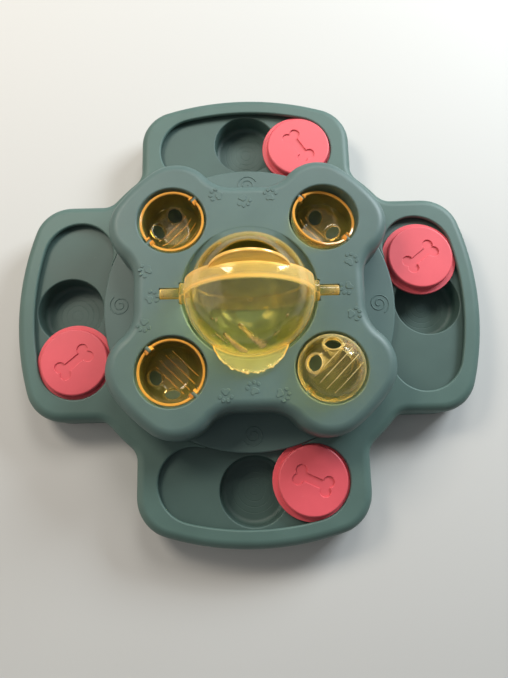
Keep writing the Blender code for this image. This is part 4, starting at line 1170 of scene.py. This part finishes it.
def rubber(name, colour):
    """Moulded thermoplastic rubber: dull, with a faint pale bloom in random patches."""
    material, tree, shader, place = new_material(name, {"IOR": 1.5})
    bloom = noise(tree, place, 240.0, 4.0)
    shade = ramp(tree, bloom, (0.45, linear(colour)), (0.8, linear(colour, 1.9)))
    grain = bumped(tree, noise(tree, place, 1900.0), 0.5, 0.00008)
    feed(tree, shader, {"Base Color": shade, "Roughness": remapped(tree, bloom, 0.72, 0.92), "Normal": grain})
    return material


black_rubber = rubber("foot_black_thermoplastic_rubber", "#232323")
foot_profile = [(0.0, 0.0006), (0.004, 0.0006), (0.0044, 0.0), (0.0066, 0.0), (0.0069, 0.0005),
                (0.0078, 0.0005), (0.0081, 0.0), (foot_radius - 0.0008, 0.0), (foot_radius - 0.0002, 0.0003),
                (foot_radius, 0.0009), (foot_radius, foot_top_z), (0.0, foot_top_z)]
for key, place in zip(lobe_angles, well_places):
    foot = spun(f"rubber_foot_{key}", foot_profile, 72, place)
    finished(foot, f"rubber_foot_{key}", black_rubber, "base", [f"foot_{key}"])

# ---------------------------------------------------------------------------------------------------------
# Screws: zinc-plated steel self-tapping screws, cold headed and thread rolled, driven from below. Eight hold
# the pan to the shell and four hold the top cover to the pan.
head_radius = 0.0024
head_height = 0.0015
shank_radius = 0.0009
block_size = 0.01
blade_length = 0.0026
blade_width = 0.00055
blade_height = 0.0018


def plated_steel(name, colour):
    """Zinc plate: bright grey metal with a fine crystalline mottling."""
    material, tree, shader, place = new_material(name, {"Metallic": 1.0})
    crystal = (node(tree, "ShaderNodeTexVoronoi", {"Scale": 1500.0, "Vector": place}), "Distance")
    shade = ramp(tree, crystal, (0.1, linear(colour)), (0.9, linear(colour, 0.8)))
    feed(tree, shader, {"Base Color": shade, "Roughness": remapped(tree, crystal, 0.3, 0.48)})
    return material


zinc = plated_steel("screw_zinc_plated_steel", "#c4c4c0")
screw_tree, entry = tree_for("pan_head_screw", "Head Radius", "Head Height", "Shank Radius", "Length")
length, shank_size = (entry, "Length"), (entry, "Shank Radius")
# The head: the lower half of a flattened ball, with a cross recess
ball = node(screw_tree, "GeometryNodeMeshUVSphere", {"Segments": 28, "Rings": 14, "Radius": 1.0})
size = vector(screw_tree, (entry, "Head Radius"), (entry, "Head Radius"), (entry, "Head Height"))
block = node(screw_tree, "GeometryNodeMeshCube", {"Size": (block_size,) * 3})
head_cuts = [reshaped(screw_tree, block, Translation=(0.0, 0.0, block_size / 2.0))]
foot_z = vector(screw_tree, z=maths(screw_tree, "MULTIPLY", (entry, "Head Height"), -1.0))
for blade in ((blade_length, blade_width, blade_height), (blade_width, blade_length, blade_height)):
    cube = node(screw_tree, "GeometryNodeMeshCube", {"Size": blade})
    head_cuts.append(reshaped(screw_tree, cube, Translation=foot_z))
head = node(screw_tree, "GeometryNodeMeshBoolean", {
    "operation": "DIFFERENCE", "solver": "EXACT", "Mesh 1": reshaped(screw_tree, ball, Scale=size),
    "Mesh 2": head_cuts})
# The shank, a little into the head, and its thread
shank = node(screw_tree, "GeometryNodeMeshCylinder", {"Vertices": 24, "Radius": shank_size, "Depth": length})
sunk = maths(screw_tree, "SUBTRACT", maths(screw_tree, "MULTIPLY", length, 0.5), 0.0003)
whole = merged(screw_tree, [head, reshaped(screw_tree, shank, Translation=vector(screw_tree, z=sunk))])
thread_line = node(screw_tree, "GeometryNodeCurveSpiral", {
    "Resolution": 16, "Rotations": 7.0, "Start Radius": shank_size, "End Radius": shank_size,
    "Height": maths(screw_tree, "MULTIPLY", length, 0.8)})
thread = reshaped(screw_tree, beaded(screw_tree, thread_line, 0.0002, 5), Translation=(0.0, 0.0, 0.0009))
close_tree(screw_tree, entry, on_points(screw_tree, entry, merged(screw_tree, [whole, thread])))
screw_sets = {"base_screw": (shell_bosses, 0.0097, 0.0083),
              "cover_screw": (cover_screw_places, 0.0177, 0.0132)}
for key, (places, top_z, length) in screw_sets.items():
    sizes = {"Head Radius": head_radius, "Head Height": head_height, "Shank Radius": shank_radius,
             "Length": length, "Material": zinc}
    screws = grown(f"{key}s", screw_tree, sizes, [(p[0], p[1], top_z, 0.6 * i) for i, p in enumerate(places)])
    finished(screws, f"{key}s", zinc, "base", [f"{key}_{i + 1}" for i in range(len(places))])

# ---------------------------------------------------------------------------------------------------------
# Stage: a plain pale floor, soft studio light from behind on the right, and the photograph's camera.
floor_half = 4.0
white = (0.88, 0.88, 0.88, 1.0)


def whitened(tree, share, plain, white_kind, end):
    """Shows white instead of a surface or sky by a share, and ends its tree."""
    bright = node(tree, white_kind, {"Color": white})
    mixed = node(tree, "ShaderNodeMixShader", {0: share, 1: plain, 2: bright})
    feed(tree, tree.nodes[end], {"Surface": mixed})


floor_mesh = bpy.data.meshes.new("floor")
corners = strip(-floor_half, floor_half, floor_half)
floor_mesh.from_pydata([(p.x, p.y, 0.0) for p in corners], [], [(0, 1, 2, 3)])
floor = placed("floor", floor_mesh)
matt_grey = {"Base Color": linear("#cfcfcc"), "Roughness": 0.9}
paper, tree, shader, spot = new_material("floor_matt_paper", matt_grey)
# Half a metre out the paper fades into the white backdrop, for the camera alone
away = node(tree, "ShaderNodeVectorMath", {"operation": "LENGTH", 0: spot})
fade = remapped(tree, (away, "Value"), 0.0, 1.0, 0.4, 1.1)
fade.interpolation_type = "SMOOTHSTEP"
seen = maths(tree, "MULTIPLY", fade, (node(tree, "ShaderNodeLightPath"), "Is Camera Ray"))
whitened(tree, seen, shader, "ShaderNodeEmission", "Material Output")
floor_mesh.materials.append(paper)

world = bpy.data.worlds.new("studio")
bpy.context.scene.world = world
world.use_nodes = True
tree = world.node_tree
sky = feed(tree, tree.nodes["Background"], {"Color": (0.93, 0.96, 1.0, 1.0), "Strength": 0.18})
eye = node(tree, "ShaderNodeLightPath")
either = maths(tree, "MAXIMUM", (eye, "Is Camera Ray"), (eye, "Is Transmission Ray"))
whitened(tree, either, sky, "ShaderNodeBackground", "World Output")


def soft_box(name, azimuth, elevation, distance, size, power, colour):
    """A soft box, its azimuth from the back towards the right, looking at the toy."""
    azimuth, elevation = radians(azimuth), radians(elevation)
    level = distance * cos(elevation)
    data = bpy.data.lights.new(name, "AREA")
    data.shape = "RECTANGLE"
    data.size, data.size_y = size
    data.energy = power
    data.color = colour
    lamp = placed(name, data)
    lamp.location = (level * sin(azimuth), level * cos(azimuth), distance * sin(elevation))
    lamp.rotation_euler = (-lamp.location).to_track_quat("-Z", "Y").to_euler()


soft_box("window", 50.0, 28.0, 1.0, (0.4, 0.336), 9.6, (0.86, 0.94, 1.0))
soft_box("rear_lamp", 11.0, 46.0, 1.25, (0.45, 0.4), 4.9, (1.0, 0.97, 0.92))
soft_box("left_lamp", -47.0, 48.0, 0.8, (0.23, 0.23), 2.8, (1.0, 0.9, 0.78))
soft_box("fill", 265.0, 22.0, 1.2, (1.0, 1.0), 2.8, (1.0, 0.86, 0.7))

# The camera that was fitted to the photograph's outline, lobes, discs, cups and ball
tilt, roll, turn = 0.202455, -0.0198266, 0.0465338
target = Vector((0.003206, -0.021572, 0.020))
target_distance = 0.342216
to_camera = Matrix.Rotation(roll, 3, "Z") @ Matrix.Rotation(-tilt, 3, "X")
lens = bpy.data.cameras.new("camera")
lens.sensor_width = 36.0
lens.sensor_height = 36.0
lens.sensor_fit = "AUTO"
lens.lens = 28.26
lens.clip_start = 0.01
camera = placed("camera", lens)
place = target + to_camera.row[2] * target_distance
camera.matrix_world = spin(-turn, "Z") @ Matrix.Translation(place) @ to_camera.transposed().to_4x4()
bpy.context.scene.camera = camera
bpy.context.scene.view_settings.view_transform = "Standard"
